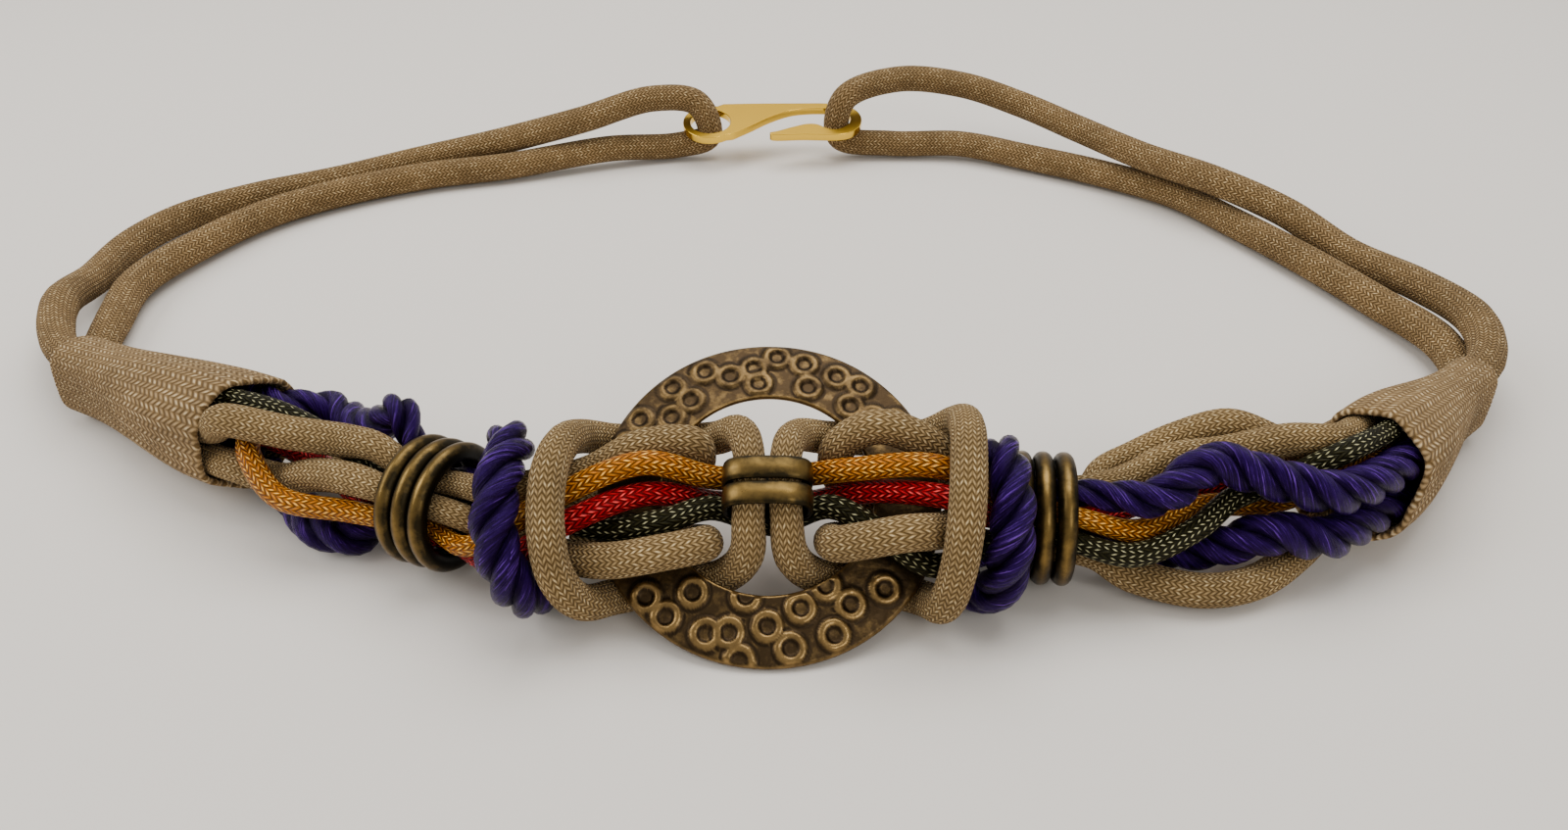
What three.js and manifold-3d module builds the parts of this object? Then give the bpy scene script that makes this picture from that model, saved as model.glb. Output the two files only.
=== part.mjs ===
// A rope belt: a domed ring in front, bundles of cord on both sides and two rope runs to a hook.
// Millimetres, +Z up. The belt lies on a flat surface with its front toward -Y.

import * as THREE from 'three';
import { mergeVertices } from 'three/addons/utils/BufferGeometryUtils.js';
import Module from 'manifold-3d';

// Driving dimensions

const RING_OUTER = 29.0; // outer radius of the domed ring
const RING_HOLE = 17.6; // radius of its hole
const RING_PLATE = 1.2; // plate thickness
const RING_RISE = 3.0; // rise of the full dome, toward the viewer
const RING_LEAN = 30; // degrees between the ring and the surface
const RING_HEIGHT = 14.5; // height of the ring's centre
const RING_SIDES = 32;

const RELIEF_OUTER = 2.5; // radius of one raised circle
const RELIEF_INNER = 1.15; // radius of its dimple
const RELIEF_RAISE = 0.45; // height over the plate
const RELIEF_SIDES = 5;

const BRAID_WIDE = 3.05; // half width of the tan cord
const BRAID_FINE = 2.1; // half width of the orange, red and olive cords
const TWIST_ROPE = 4.0; // half width of the purple rope
const BACK_ROPE = 3.9; // half width of the rope at the back
const CORD_SIDES = 8;
const CORD_TURN = 0.46; // radians of bend for each ring of corners

const STACK_RADIUS = 9.6; // centreline radius of the wire rings
const STACK_WIRE = 1.6; // half thickness of their wire
const STACK_PITCH = 3.45; // distance from one wire ring to the next
const STACK_SIDES = [6, 20]; // round the wire, round the ring

const BAND_HALF_WIDTH = 6.75; // centreline of the oval bands, across
const BAND_HALF_DEPTH = 4.0; // and front to back
const BAND_WALL = 0.6; // half thickness
const BAND_HALF_HEIGHT = 1.95;
const BAND_OFFSET = 2.15; // from the middle of the pair to each band
const BAND_SQUARE = 2 / 3; // power that squares the oval
const BAND_MIDDLE = [-2.1, 8.95]; // up the ring's plane, out of it
const BAND_SIDES = [6, 24];

const SLEEVE_WALL = 1.2;
const SLEEVE_MOUTH = 12.0; // outer radius at the mouth
const SLEEVE_END = 8.0; // outer radius at the rope end
const SLEEVE_SIDES = 16;

const HOOK_PLATE = 2.4; // plate thickness
const HOOK_EDGE = 0.4; // chamfer
const HOOK_TILT = 15; // degrees, back edge up
const HOOK_EYE = 6.2; // radius of the eye's hole
const HOOK_AT = [-0.6, 191, 10.2];
const HOOK_EYE_AT = [-19.6, 1.5];

// Where the sleeves run: rope end, mouth, and how far the rim reaches past the mouth, high and low
const SLEEVES = {
  left_sleeve: { end: [-142.5, 50, 8.0], mouth: [-101, 25, 12.0], high: 6, low: 4 },
  right_sleeve: { end: [139.5, 42, 8.0], mouth: [107, 12.5, 12.0], high: 1, low: 9 },
};

// The two stacks of wire rings: middle and axis
const STACKS = {
  left: { at: [-56, 1.7, 12.1], axis: [0.912, -0.407, 0.05] },
  right: { at: [45.8, -1.5, 11.4], axis: [0.99, -0.131, 0.05] },
};

// Outline of the hook, from the eye along the back, round the bend and back along the front
const HOOK_OUTLINE = [
  [-15.8, 11.0], [-6, 11.3], [6, 11.4], [17.5, 11.3], [22.3, 10.2], [25.8, 7.6], [27.3, 3.6],
  [26.6, -0.6], [24.2, -3.7], [20.6, -5.1], [9, -5.1], [-0.6, -5.2], [-1.2, -4.3], [1.2, -3.4],
  [6, -1.2], [10.4, 0.4], [13.4, 0.2], [16.6, -2.0], [19.6, -2.4], [22.4, -0.6], [23.9, 2.6],
  [23.2, 6.0], [20.6, 8.2], [17, 8.6], [9.6, 8.4], [4.6, 7.2], [-1.6, 3.6], [-7, -0.8],
  [-12.4, -4.9],
];
const HOOK_EYE_RIM = 8.5; // outer radius of the eye
const HOOK_EYE_ARC = [312, 72]; // degrees, from the front edge round the left to the back edge

// Raised circles on the ring: distance from its centre, degrees from its right
const RELIEF = [
  [26.3, -138], [26.4, -128], [20.9, -125], [25.6, -112.5], [24.3, -104.5], [22.6, -90], [26.2, -82],
  [20.4, -75], [23.1, -55], [26.0, -66], [24.9, -41], [25.8, 116], [22.0, 128], [21.8, 140],
  [23.2, 107], [24.0, 96.5], [20.6, 95], [26.3, 87], [25.5, 76], [20.9, 71], [25.2, 62],
  [25.9, 52], [21.4, 49], [22.9, 38], [25.9, 32], [26.2, 148], [25.9, 159], [26.2, 130],
  [25.2, -22], 
];

// Routes of the cords: x, y, z and half width as a share of the cord's own
const ROUTES = {
  orange_cord: [
    [-110.1, 29, 14.7, 0.85], [-95.5, 20.9, 15.8, 0.94], [-90.5, 9.7, 16, 0.96], [-83.5, 2.5, 12.6, 0.97],
    [-70.1, 0.1, 11.3, 0.94], [-56.3, -3.9, 11, 0.74], [-48.2, -10.1, 12.5, 0.85],
    [-34.4, -7.4, 20.1, 0.96], [-20.1, -3.8, 24.5, 0.97], [-8.9, -0.4, 19, 0.97], [2.3, 2.8, 16.7, 0.97],
    [13.6, -2.7, 22.4, 0.97], [26.5, -5.3, 25, 0.97], [38.9, -3, 16.9, 0.85], [50.7, -6.3, 15.3, 0.79],
    [60.9, -5.6, 11.9, 0.97], [74.8, 2.5, 10.8, 0.97], [86.8, 4.7, 9.7, 0.97], [100.8, 9.1, 12.4, 0.94],
    [115.1, 20.2, 13.2, 0.85],
  ],
  red_cord: [
    [-110.8, 29.6, 9.7, 0.85], [-95.9, 23.4, 11.3, 0.95], [-82.6, 16.8, 9.7, 0.97],
    [-74.7, 8.9, 10.5, 0.97], [-66, 2.4, 7.9, 0.92], [-53.2, -3.7, 8, 0.77], [-43.6, -11.2, 10, 0.88],
    [-32.2, -10.4, 17.5, 0.97], [-19.9, -5.7, 19.7, 0.97], [-8.7, -0.5, 13.9, 0.97],
    [5.4, 0.6, 12.8, 0.97], [17.1, -3.7, 18.7, 0.97], [29.8, -9.4, 21.5, 0.96], [35, -8.3, 17.3, 0.88],
    [38.9, -1.4, 11.7, 0.76], [54.4, -1, 11.1, 0.89], [70.3, 6.1, 10.7, 0.96], [85.4, 9.5, 9.9, 0.97],
    [100.3, 13.3, 7, 0.94], [114.4, 20.9, 9.2, 0.85],
  ],
  olive_cord: [
    [-113.5, 26.9, 16.8, 0.85], [-100, 22.2, 20.2, 0.94], [-87.2, 18.4, 19.3, 0.97],
    [-74.9, 13.7, 14.7, 0.97], [-64, 6.1, 12, 0.89], [-52.2, 0.5, 13.1, 0.76], [-41.4, -2.6, 14.6, 0.88],
    [-27.2, -8, 14.5, 0.97], [-16.9, -9.3, 17, 0.97], [-9.3, -5.4, 16.6, 0.97], [0.5, -3.9, 12, 0.97],
    [10.2, -5.7, 17.1, 0.97], [17.1, -9.4, 15.6, 0.97], [26, -13.5, 11.4, 0.96], [35.1, -9.1, 11.5, 0.86],
    [42.7, -6.1, 12.6, 0.77], [58.7, -10.5, 10.9, 0.97], [69.7, -6.5, 12.7, 0.97], [78.4, 0.5, 14, 0.97],
    [87.9, 4, 15.4, 0.97], [96.7, 4.4, 20.7, 0.96], [105.6, 10, 20.4, 0.92], [116.2, 20.9, 17.6, 0.85],
  ],
  left_looped_cord: [
    [-113.9, 25.8, 11.5, 0.8], [-106.7, 21.4, 14.7, 0.91], [-100.3, 18, 16.3, 0.95],
    [-94.4, 12.7, 21.6, 0.97], [-83, 10.9, 20.2, 0.97], [-73.1, 9.9, 19.2, 0.98],
    [-66.7, 7.1, 19.8, 0.85], [-60, 3.8, 17, 0.71], [-51.1, -0.7, 17.7, 0.72], [-43.9, -4.4, 19.6, 0.79],
    [-37.5, -2.9, 19.6, 0.87], [-29.2, -0.2, 20, 0.96], [-20.9, 2, 23.6, 0.97], [-12.3, 3.9, 22.6, 0.97],
    [-12.9, 5.1, 15.9, 0.97], [-21.2, 4.3, 11.3, 0.98], [-29.9, 2.1, 11.3, 0.94],
    [-37.3, 1.3, 12.3, 0.84], [-44.7, 2.2, 11.2, 0.76], [-52.3, 5.3, 10, 0.69], [-61.3, 9.2, 9.3, 0.76],
    [-68.4, 14.1, 7.6, 0.86], [-75.4, 18, 5.3, 0.94], [-83.6, 22.9, 4.7, 0.98], [-93.2, 26.8, 7.8, 0.96],
    [-99.9, 31.6, 8.3, 0.91], [-107.5, 36, 8.9, 0.8],
  ],
  left_short_cord: [
    [-112.5, 27, 6.1, 0.8], [-103.9, 19.4, 8.9, 0.93], [-95.6, 13.7, 10.8, 0.96],
    [-86.5, 10.1, 10.7, 0.97], [-77.8, 6.5, 14.4, 0.97], [-69.6, 2.9, 15.9, 0.93],
    [-60.3, -0.8, 14.9, 0.7], [-50.6, -5.3, 14.9, 0.73], [-41.4, -6.3, 10.6, 0.8],
    [-33.6, -9.8, 10.3, 0.93], [-25.3, -14.1, 12.9, 0.97], [-16.6, -14.6, 15, 0.97],
    [-10.2, -10.7, 13.5, 0.97], [-12.9, -5.2, 9.2, 0.97], [-21.8, -3.6, 7.4, 0.97],
    [-33.2, -3, 7.5, 0.97],
  ],
  right_looped_cord: [
    [112.3, 24, 15.2, 0.8], [105.9, 17.3, 17.2, 0.91], [98.8, 11.1, 18.6, 0.96], [89.4, 9.3, 19.8, 0.97],
    [78.5, 7.8, 18.3, 0.97], [68.3, 6.6, 17.5, 0.94], [60.8, 3.9, 15.4, 0.83], [54.3, 2, 15.3, 0.71],
    [42.5, 4, 12.4, 0.7], [35.6, 3.3, 13.4, 0.77], [32.5, 0.2, 16, 0.88], [28.1, 1.6, 22.9, 0.98],
    [18.1, 2.9, 27, 0.97], [11.4, 4.6, 20.9, 0.97], [13.4, 5.2, 12.7, 0.97], [21.4, 4.7, 10.7, 0.98],
    [29.1, 5.7, 11.6, 0.93], [31.6, 10.6, 12.5, 0.8], [37.3, 4.4, 7.9, 0.71], [53.3, 3.7, 10.6, 0.7],
    [58.3, 9.5, 13, 0.78], [64.3, 12, 14.4, 0.89], [71.6, 14, 16.7, 0.97], [81, 15.2, 18.9, 0.97],
    [90.6, 14.6, 15.5, 0.97], [98.9, 14.3, 12.5, 0.96], [105.3, 20.4, 11.4, 0.91],
    [112.7, 25.7, 8.9, 0.8],
  ],
  right_short_cord: [
    [115.8, 18.2, 4.7, 0.8], [107.6, 11.8, 4.7, 0.92], [99.5, 6.4, 5.3, 0.96], [90.9, -1.4, 3.4, 0.97],
    [81.4, -8.3, 3.1, 0.97], [71.7, -10.6, 3.3, 0.97], [60.4, -8.3, 4.8, 0.98], [54.1, -6.2, 7.5, 0.84],
    [44.3, -5.4, 8.4, 0.69], [34.3, -4.8, 9.4, 0.75], [31.6, -5.5, 13.3, 0.89], [27.4, -11.3, 16.7, 0.97],
    [21.3, -15, 19.2, 0.97], [11.6, -13, 15.4, 0.97], [10.8, -7, 11.2, 0.97], [17.8, -3.7, 8.2, 0.97],
    [29.5, -0.3, 8.4, 0.97],
  ],
  left_purple_rope: [
    [-110.4, 36.3, 14.6, 0.68], [-101.6, 32, 14.9, 0.81], [-93.1, 27.6, 14.8, 0.86],
    [-82.8, 29.5, 12.6, 0.89], [-76.5, 23.4, 13.2, 0.9], [-69.9, 18.3, 16.9, 0.89],
    [-64.2, 14.4, 22.5, 0.74], [-60.1, 8.7, 15.2, 0.57], [-47.9, 2.9, 16.5, 0.55],
    [-43.3, 1.9, 25.1, 0.76], [-41.2, -0.3, 26.1, 0.9], [-41.7, -8.9, 26.1, 0.94],
    [-41.9, -16.3, 19, 0.95], [-39.4, -17.7, 10, 0.95], [-37.9, -11.8, 4.2, 0.92], [-40.9, -5.1, 4, 0.76],
    [-48.1, -1.4, 6.8, 0.61], [-57.5, 3.1, 7.1, 0.53], [-68.5, 6.4, 3.7, 0.64], [-72.3, 2.9, 3.5, 0.83],
    [-79.9, 4.8, 4, 0.89], [-86.2, 12.6, 3.8, 0.9], [-94.3, 19.1, 6, 0.88], [-102, 25.4, 5.1, 0.81],
    [-109.5, 31.9, 4.9, 0.68],
  ],
  right_purple_rope: [
    [118.3, 16.8, 15.2, 0.68], [109.9, 8.1, 16.3, 0.83], [101.5, 1.3, 17.1, 0.92],
    [93.2, -2.6, 17.6, 0.95], [82.6, -1.4, 19.7, 0.95], [73.1, 0.4, 21.2, 0.95], [63.3, -4.7, 18.2, 0.85],
    [54, -2.9, 17.5, 0.63], [41.2, 1, 16.1, 0.53], [36.7, 1.7, 19.8, 0.63], [37.9, -2.4, 25.3, 0.83],
    [38.3, -11, 22.5, 0.91], [37.7, -15.7, 14.1, 0.95], [36.2, -13.9, 5.8, 0.95], [31.4, -7.4, 4.1, 0.91],
    [34.5, -2.1, 3.2, 0.71], [41, -1.6, 5.7, 0.53], [57.3, -1.1, 6.3, 0.62], [65, -2.6, 5.1, 0.8],
    [74.3, -3.9, 6.7, 0.89], [83.6, -4.9, 10.8, 0.95], [92.9, -4.7, 9.6, 0.93], [101.7, 0.7, 9.3, 0.89],
    [110, 7.2, 9.1, 0.83], [118.4, 15.6, 9, 0.68],
  ],
  left_binding_loop: [
    [-3.1, -1.1, 24.1, 0.86], [-3.1, -9.7, 18.4, 0.86], [-3.4, -11.8, 12.4, 0.96],
    [-7.4, -10.5, 6.4, 0.97], [-16.4, -10.5, 4.2, 0.97], [-24.8, -11.8, 3.2, 0.97],
    [-29.7, -17, 6.8, 0.97], [-32.7, -18.6, 13.6, 0.97], [-34, -15.5, 20.7, 0.97],
    [-34.1, -8.4, 26, 0.97], [-33.3, -0.1, 25.8, 0.97], [-31.7, 8.4, 21.2, 0.97],
    [-26.9, 12.8, 17.3, 0.97], [-18.4, 13, 17, 0.97], [-9.4, 10.8, 19.1, 0.97], [-4.9, 6, 23.7, 0.95],
  ],
  right_binding_loop: [
    [3, -0.6, 24.2, 0.86], [3, -9.9, 18.1, 0.86], [3.9, -11.6, 11.7, 0.96], [8, -10.2, 6.2, 0.97],
    [16.7, -9.9, 4.3, 0.97], [25.2, -12.2, 3.2, 0.97], [27.9, -17.8, 7, 0.97], [29.5, -18.5, 14.9, 0.97],
    [30.5, -15.2, 23.4, 0.97], [31.3, -8.1, 28.2, 0.97], [32.2, 0.8, 28.2, 0.97], [32.2, 9.3, 23.6, 0.97],
    [27.2, 13.1, 18, 0.97], [18.4, 13.2, 17.2, 0.97], [10, 11.6, 18.7, 0.97], [4.9, 6.9, 22.4, 0.94],
  ],
  left_back_rope: [
    [-133.3, 42.7, 12.5, 0.74], [-149.5, 55.7, 10.4, 0.88], [-161.1, 76.7, 9.9, 1],
    [-166.2, 99.1, 5.1, 1], [-167.1, 120.7, 4.3, 1], [-160.9, 137.8, 4.2, 1], [-147.2, 151.4, 4.2, 1],
    [-127, 163.1, 4.6, 1], [-107.5, 174.8, 5.8, 1], [-83.9, 180, 9.6, 1], [-58.6, 185.2, 14.7, 1],
    [-37.7, 193.4, 18.5, 1], [-24.2, 193.5, 17, 1], [-20.8, 192.7, 7.1, 1], [-30.7, 192.3, 4.1, 1],
    [-51.3, 186.7, 5, 1], [-80.3, 175, 4, 1], [-103.1, 167.5, 3.9, 1], [-123, 155.8, 3.9, 1],
    [-138.6, 141, 4, 1], [-149.1, 121.2, 4.1, 1], [-155.3, 99, 4.4, 1], [-152.6, 80.1, 3.9, 0.99],
    [-145.3, 56, 4.1, 0.82], [-133.3, 40.7, 6.3, 0.74],
  ],
  right_back_rope: [
    [129.1, 33.4, 11.3, 0.74], [146.4, 48.8, 11.5, 0.93], [153.4, 66.9, 11.4, 1], [152.1, 88, 8.8, 1],
    [144.7, 109.2, 6.7, 1], [134.8, 127.2, 9.9, 1], [120.3, 142.5, 12.6, 1], [105.6, 161.1, 12.4, 1],
    [90.8, 181.4, 13.4, 1], [76.2, 196.1, 15.8, 1], [58.2, 202.5, 19.9, 1], [37.5, 201.8, 21.8, 1],
    [21.1, 194.5, 17.9, 1], [19.8, 193.9, 6.5, 1], [36.3, 193.7, 4.1, 1], [57.8, 192.2, 4.5, 1],
    [76.7, 182.5, 4, 1], [98.1, 168.1, 4, 1], [113.8, 153.6, 4, 1], [124.8, 134, 3.9, 1],
    [135.1, 111.3, 4, 1], [143.5, 89.1, 4, 1], [148.7, 68.4, 4.8, 0.99], [145.2, 51.2, 4.5, 0.86],
    [131.8, 32.9, 5.2, 0.74],
  ],
};

// Each cord: its colour, roughness, half width and whether its route closes on itself
const CORDS = {
  orange_cord: { colour: 0xc9822f, rough: 0.45, radius: BRAID_FINE, closed: false },
  red_cord: { colour: 0xb0182c, rough: 0.45, radius: BRAID_FINE, closed: false },
  olive_cord: { colour: 0x35331f, rough: 0.5, radius: BRAID_FINE, closed: false },
  left_looped_cord: { colour: 0xa88d63, rough: 0.85, radius: BRAID_WIDE, closed: false },
  left_short_cord: { colour: 0xa88d63, rough: 0.85, radius: BRAID_WIDE, closed: false },
  right_looped_cord: { colour: 0xa88d63, rough: 0.85, radius: BRAID_WIDE, closed: false },
  right_short_cord: { colour: 0xa88d63, rough: 0.85, radius: BRAID_WIDE, closed: false },
  left_purple_rope: { colour: 0x35196b, rough: 0.4, radius: TWIST_ROPE, closed: false },
  right_purple_rope: { colour: 0x35196b, rough: 0.4, radius: TWIST_ROPE, closed: false },
  left_binding_loop: { colour: 0xa88d63, rough: 0.85, radius: BRAID_WIDE, closed: true },
  right_binding_loop: { colour: 0xa88d63, rough: 0.85, radius: BRAID_WIDE, closed: true },
  left_back_rope: { colour: 0x8b7049, rough: 0.85, radius: BACK_ROPE, closed: false },
  right_back_rope: { colour: 0x8b7049, rough: 0.85, radius: BACK_ROPE, closed: false },
};

const X_AXIS = new THREE.Vector3(1, 0, 0);
const Y_AXIS = new THREE.Vector3(0, 1, 0);
const Z_AXIS = new THREE.Vector3(0, 0, 1);
const radians = THREE.MathUtils.degToRad;

const antiqueBrass = () => new THREE.MeshStandardMaterial({ color: 0x6b5634, roughness: 0.4, metalness: 1 });
const goldPlate = () => new THREE.MeshStandardMaterial({ color: 0xc79a3c, roughness: 0.25, metalness: 1 });
const sleeveCloth = () => new THREE.MeshStandardMaterial({ color: 0x9c8257, roughness: 0.9, metalness: 0 });

// Only the positions count, with shared corners made one
function bare(geometry) {
  geometry.deleteAttribute('normal');
  geometry.deleteAttribute('uv');
  return mergeVertices(geometry, 1e-3);
}

// Moves every corner of a geometry to the place that a rule gives it
function carried(geometry, place) {
  const corners = geometry.attributes.position;
  const corner = new THREE.Vector3();
  for (let i = 0; i < corners.count; i += 1) {
    corner.fromBufferAttribute(corners, i);
    const moved = place(corner);
    corners.setXYZ(i, moved.x, moved.y, moved.z);
  }
  return bare(geometry);
}

function named(name, geometry, material) {
  const mesh = new THREE.Mesh(geometry, material);
  mesh.name = name;
  return mesh;
}

// Shares of a route at which the cord has a ring of corners: more of them where it bends
function stationsOf(curve, closed) {
  const spans = closed ? curve.points.length : curve.points.length - 1;
  const shares = [];
  for (let i = 0; i < spans; i += 1) {
    const turn = curve.getTangent(i / spans).angleTo(curve.getTangent((i + 1) / spans));
    const parts = Math.min(3, 1 + Math.floor(turn / CORD_TURN));
    for (let k = 0; k < parts; k += 1) {
      shares.push((i + k / parts) / spans);
    }
  }
  return closed ? shares : [...shares, 1];
}

// A frame at every station, carried along the route without twist
function framesOf(curve, shares, closed) {
  const tangents = shares.map((share) => curve.getTangent(share));
  const side = new THREE.Vector3().crossVectors(tangents[0], Z_AXIS);
  if (side.length() < 0.3) {
    side.crossVectors(tangents[0], X_AXIS);
  }
  side.normalize();
  const turn = new THREE.Quaternion();
  const sides = [side.clone()];
  for (let i = 1; i < tangents.length; i += 1) {
    turn.setFromUnitVectors(tangents[i - 1], tangents[i]);
    sides.push(sides[i - 1].clone().applyQuaternion(turn));
  }
  let slip = 0;
  if (closed) {
    turn.setFromUnitVectors(tangents[tangents.length - 1], tangents[0]);
    const back = sides[sides.length - 1].clone().applyQuaternion(turn);
    slip = Math.atan2(new THREE.Vector3().crossVectors(back, sides[0]).dot(tangents[0]), back.dot(sides[0]));
  }
  return shares.map((share, i) => {
    const across = sides[i].applyAxisAngle(tangents[i], (slip * i) / shares.length);
    const up = new THREE.Vector3().crossVectors(tangents[i], across);
    return { at: curve.getPoint(share), across, up };
  });
}

// A solid cord along its route; a closed one starts as a torus, the others as a cylinder
function cordGeometry(rows, radius, closed) {
  const points = rows.map(([x, y, z]) => new THREE.Vector3(x, y, z));
  const curve = new THREE.CatmullRomCurve3(points, closed, 'centripetal');
  const shares = stationsOf(curve, closed);
  const frames = framesOf(curve, shares, closed);
  const spans = closed ? rows.length : rows.length - 1;
  const widths = shares.map((share) => {
    const row = Math.min(Math.floor(share * spans), rows.length - 1);
    const next = closed ? (row + 1) % rows.length : Math.min(row + 1, rows.length - 1);
    return radius * THREE.MathUtils.lerp(rows[row][3], rows[next][3], share * spans - row);
  });
  const onSection = (station, angle, reach) => {
    const { at, across, up } = frames[station];
    const width = widths[station] * reach;
    const aside = at.clone().addScaledVector(across, width * Math.cos(angle));
    return aside.addScaledVector(up, width * Math.sin(angle));
  };
  if (!closed) {
    const steps = shares.length - 1;
    const rod = new THREE.CylinderGeometry(1, 1, 1, CORD_SIDES, steps);
    return carried(rod, (p) => {
      const station = Math.round((p.y + 0.5) * steps);
      return onSection(station, Math.atan2(p.x, p.z), Math.hypot(p.x, p.z));
    });
  }
  const steps = shares.length;
  const loop = new THREE.TorusGeometry(3, 1, CORD_SIDES, steps);
  return carried(loop, (p) => {
    const round = Math.atan2(p.y, p.x) / (2 * Math.PI);
    const station = (Math.round(round * steps) + steps) % steps;
    return onSection(station, Math.atan2(p.z, 3 - Math.hypot(p.x, p.y)), 1);
  });
}

// Height of the ring's middle surface over the plane of its rim
function domeHeight(distance) {
  return RING_RISE * (1 - (distance / RING_OUTER) ** 2);
}

function domeProfile(inner, outer, low, high) {
  const profile = [];
  for (let k = 0; k <= 2; k += 1) {
    const distance = THREE.MathUtils.lerp(inner, outer, k / 2);
    profile.push(new THREE.Vector2(distance, domeHeight(distance) + low));
  }
  for (let k = 2; k >= 0; k -= 1) {
    const distance = THREE.MathUtils.lerp(inner, outer, k / 2);
    profile.push(new THREE.Vector2(distance, domeHeight(distance) + high));
  }
  profile.push(profile[0].clone());
  return profile;
}

function raisedCircle(distance, degrees) {
  const profile = [
    new THREE.Vector2(RELIEF_INNER, -RING_PLATE * 0.3),
    new THREE.Vector2(RELIEF_OUTER, -RING_PLATE * 0.3),
    new THREE.Vector2(RELIEF_OUTER * 0.92, RING_PLATE / 2 + RELIEF_RAISE),
    new THREE.Vector2(RELIEF_INNER, RING_PLATE / 2 + RELIEF_RAISE),
    new THREE.Vector2(RELIEF_INNER, -RING_PLATE * 0.3),
  ];
  const circle = new THREE.LatheGeometry(profile, RELIEF_SIDES);
  const slope = Math.atan((2 * RING_RISE * distance) / RING_OUTER ** 2);
  circle.rotateZ(-slope);
  circle.translate(distance, domeHeight(distance), 0);
  circle.rotateY(radians(degrees));
  return bare(circle);
}

function ringGeometry(wasm) {
  const solid = (geometry) => {
    const vertProperties = new Float32Array(geometry.attributes.position.array);
    const triVerts = new Uint32Array(geometry.index.array);
    return new wasm.Manifold(new wasm.Mesh({ numProp: 3, vertProperties, triVerts }));
  };
  const washer = (low, high) => {
    return solid(bare(new THREE.LatheGeometry(domeProfile(RING_HOLE, RING_OUTER, low, high), RING_SIDES)));
  };
  const plate = washer(-RING_PLATE / 2, RING_PLATE / 2);
  const allowed = washer(-RING_PLATE / 2, RING_PLATE / 2 + 2 * RELIEF_RAISE);
  const circles = RELIEF.map(([distance, degrees]) => solid(raisedCircle(distance, degrees)));
  const relief = circles.reduce((sum, circle) => sum.add(circle)).intersect(allowed);
  const joined = plate.add(relief).getMesh();
  const geometry = new THREE.BufferGeometry();
  geometry.setAttribute('position', new THREE.BufferAttribute(joined.vertProperties, 3));
  geometry.setIndex(new THREE.BufferAttribute(joined.triVerts, 1));
  geometry.rotateX(Math.PI / 2);
  return mergeVertices(geometry, 1e-3);
}

// Turns a piece modelled flat, +Z out of the ring's face and +Y up it, to where the ring leans
function leaned(mesh) {
  mesh.rotation.x = radians(RING_LEAN);
  mesh.position.z = RING_HEIGHT;
  return mesh;
}

function bandGeometry(offset) {
  const [around, along] = BAND_SIDES;
  const loop = new THREE.TorusGeometry(3, 1, around, along);
  return carried(loop, (p) => {
    const angle = Math.atan2(p.y, p.x);
    const out = Math.hypot(p.x, p.y) - 3;
    const squared = (value) => Math.sign(value) * Math.abs(value) ** BAND_SQUARE;
    const across = (BAND_HALF_WIDTH + BAND_WALL * out) * squared(Math.cos(angle));
    const depth = (BAND_HALF_DEPTH + BAND_WALL * out) * squared(Math.sin(angle));
    const height = BAND_HALF_HEIGHT * Math.sign(p.z) * Math.abs(p.z) ** 0.5;
    return new THREE.Vector3(across, BAND_MIDDLE[0] + offset + height, BAND_MIDDLE[1] - depth);
  });
}

function sleeveGeometry({ end, mouth, high, low }) {
  const from = new THREE.Vector3(...end);
  const along = new THREE.Vector3(...mouth).sub(from);
  const length = along.length();
  const stations = [
    [0, SLEEVE_END], [0.08, SLEEVE_END * 1.06], [0.45, (SLEEVE_END + SLEEVE_MOUTH) / 2], [1, SLEEVE_MOUTH],
  ];
  const outside = stations.map(([share, radius]) => new THREE.Vector2(radius, share * length));
  const inside = stations.map(([share, radius]) => new THREE.Vector2(radius - SLEEVE_WALL, share * length));
  const profile = [...outside, ...inside.reverse(), outside[0].clone()];
  const tube = new THREE.LatheGeometry(profile, SLEEVE_SIDES);
  const turn = new THREE.Quaternion().setFromUnitVectors(Y_AXIS, along.normalize());
  const rise = new THREE.Vector3();
  return carried(tube, (p) => {
    rise.set(p.x, 0, p.z).applyQuaternion(turn);
    const share = p.y / length;
    const reach = THREE.MathUtils.lerp(low, high, 0.5 + rise.z / (2 * SLEEVE_MOUTH));
    p.y += reach * Math.max(0, share - 0.45) / 0.55;
    return p.clone().applyQuaternion(turn).add(from);
  });
}

function hookGeometry() {
  const [eyeX, eyeY] = HOOK_EYE_AT;
  const outline = new THREE.Shape(HOOK_OUTLINE.map(([x, y]) => new THREE.Vector2(x, y)));
  const [start, end] = HOOK_EYE_ARC.map(radians);
  outline.absarc(eyeX, eyeY, HOOK_EYE_RIM, start, end, true);
  const eye = new THREE.Path();
  eye.absarc(eyeX, eyeY, HOOK_EYE + HOOK_EDGE, 0, 2 * Math.PI, false);
  outline.holes.push(eye);
  const plate = new THREE.ExtrudeGeometry(outline, {
    depth: HOOK_PLATE - 2 * HOOK_EDGE,
    bevelThickness: HOOK_EDGE,
    bevelSize: HOOK_EDGE,
    bevelOffset: -HOOK_EDGE,
    bevelSegments: 1,
    curveSegments: 8,
  });
  plate.translate(0, 0, HOOK_EDGE - HOOK_PLATE / 2);
  return bare(plate);
}

const wasm = await Module();
wasm.setup();

const pieces = [];

pieces.push(leaned(named('medallion', ringGeometry(wasm), antiqueBrass())));
pieces.push(leaned(named('upper_band', bandGeometry(BAND_OFFSET), antiqueBrass())));
pieces.push(leaned(named('lower_band', bandGeometry(-BAND_OFFSET), antiqueBrass())));

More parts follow.
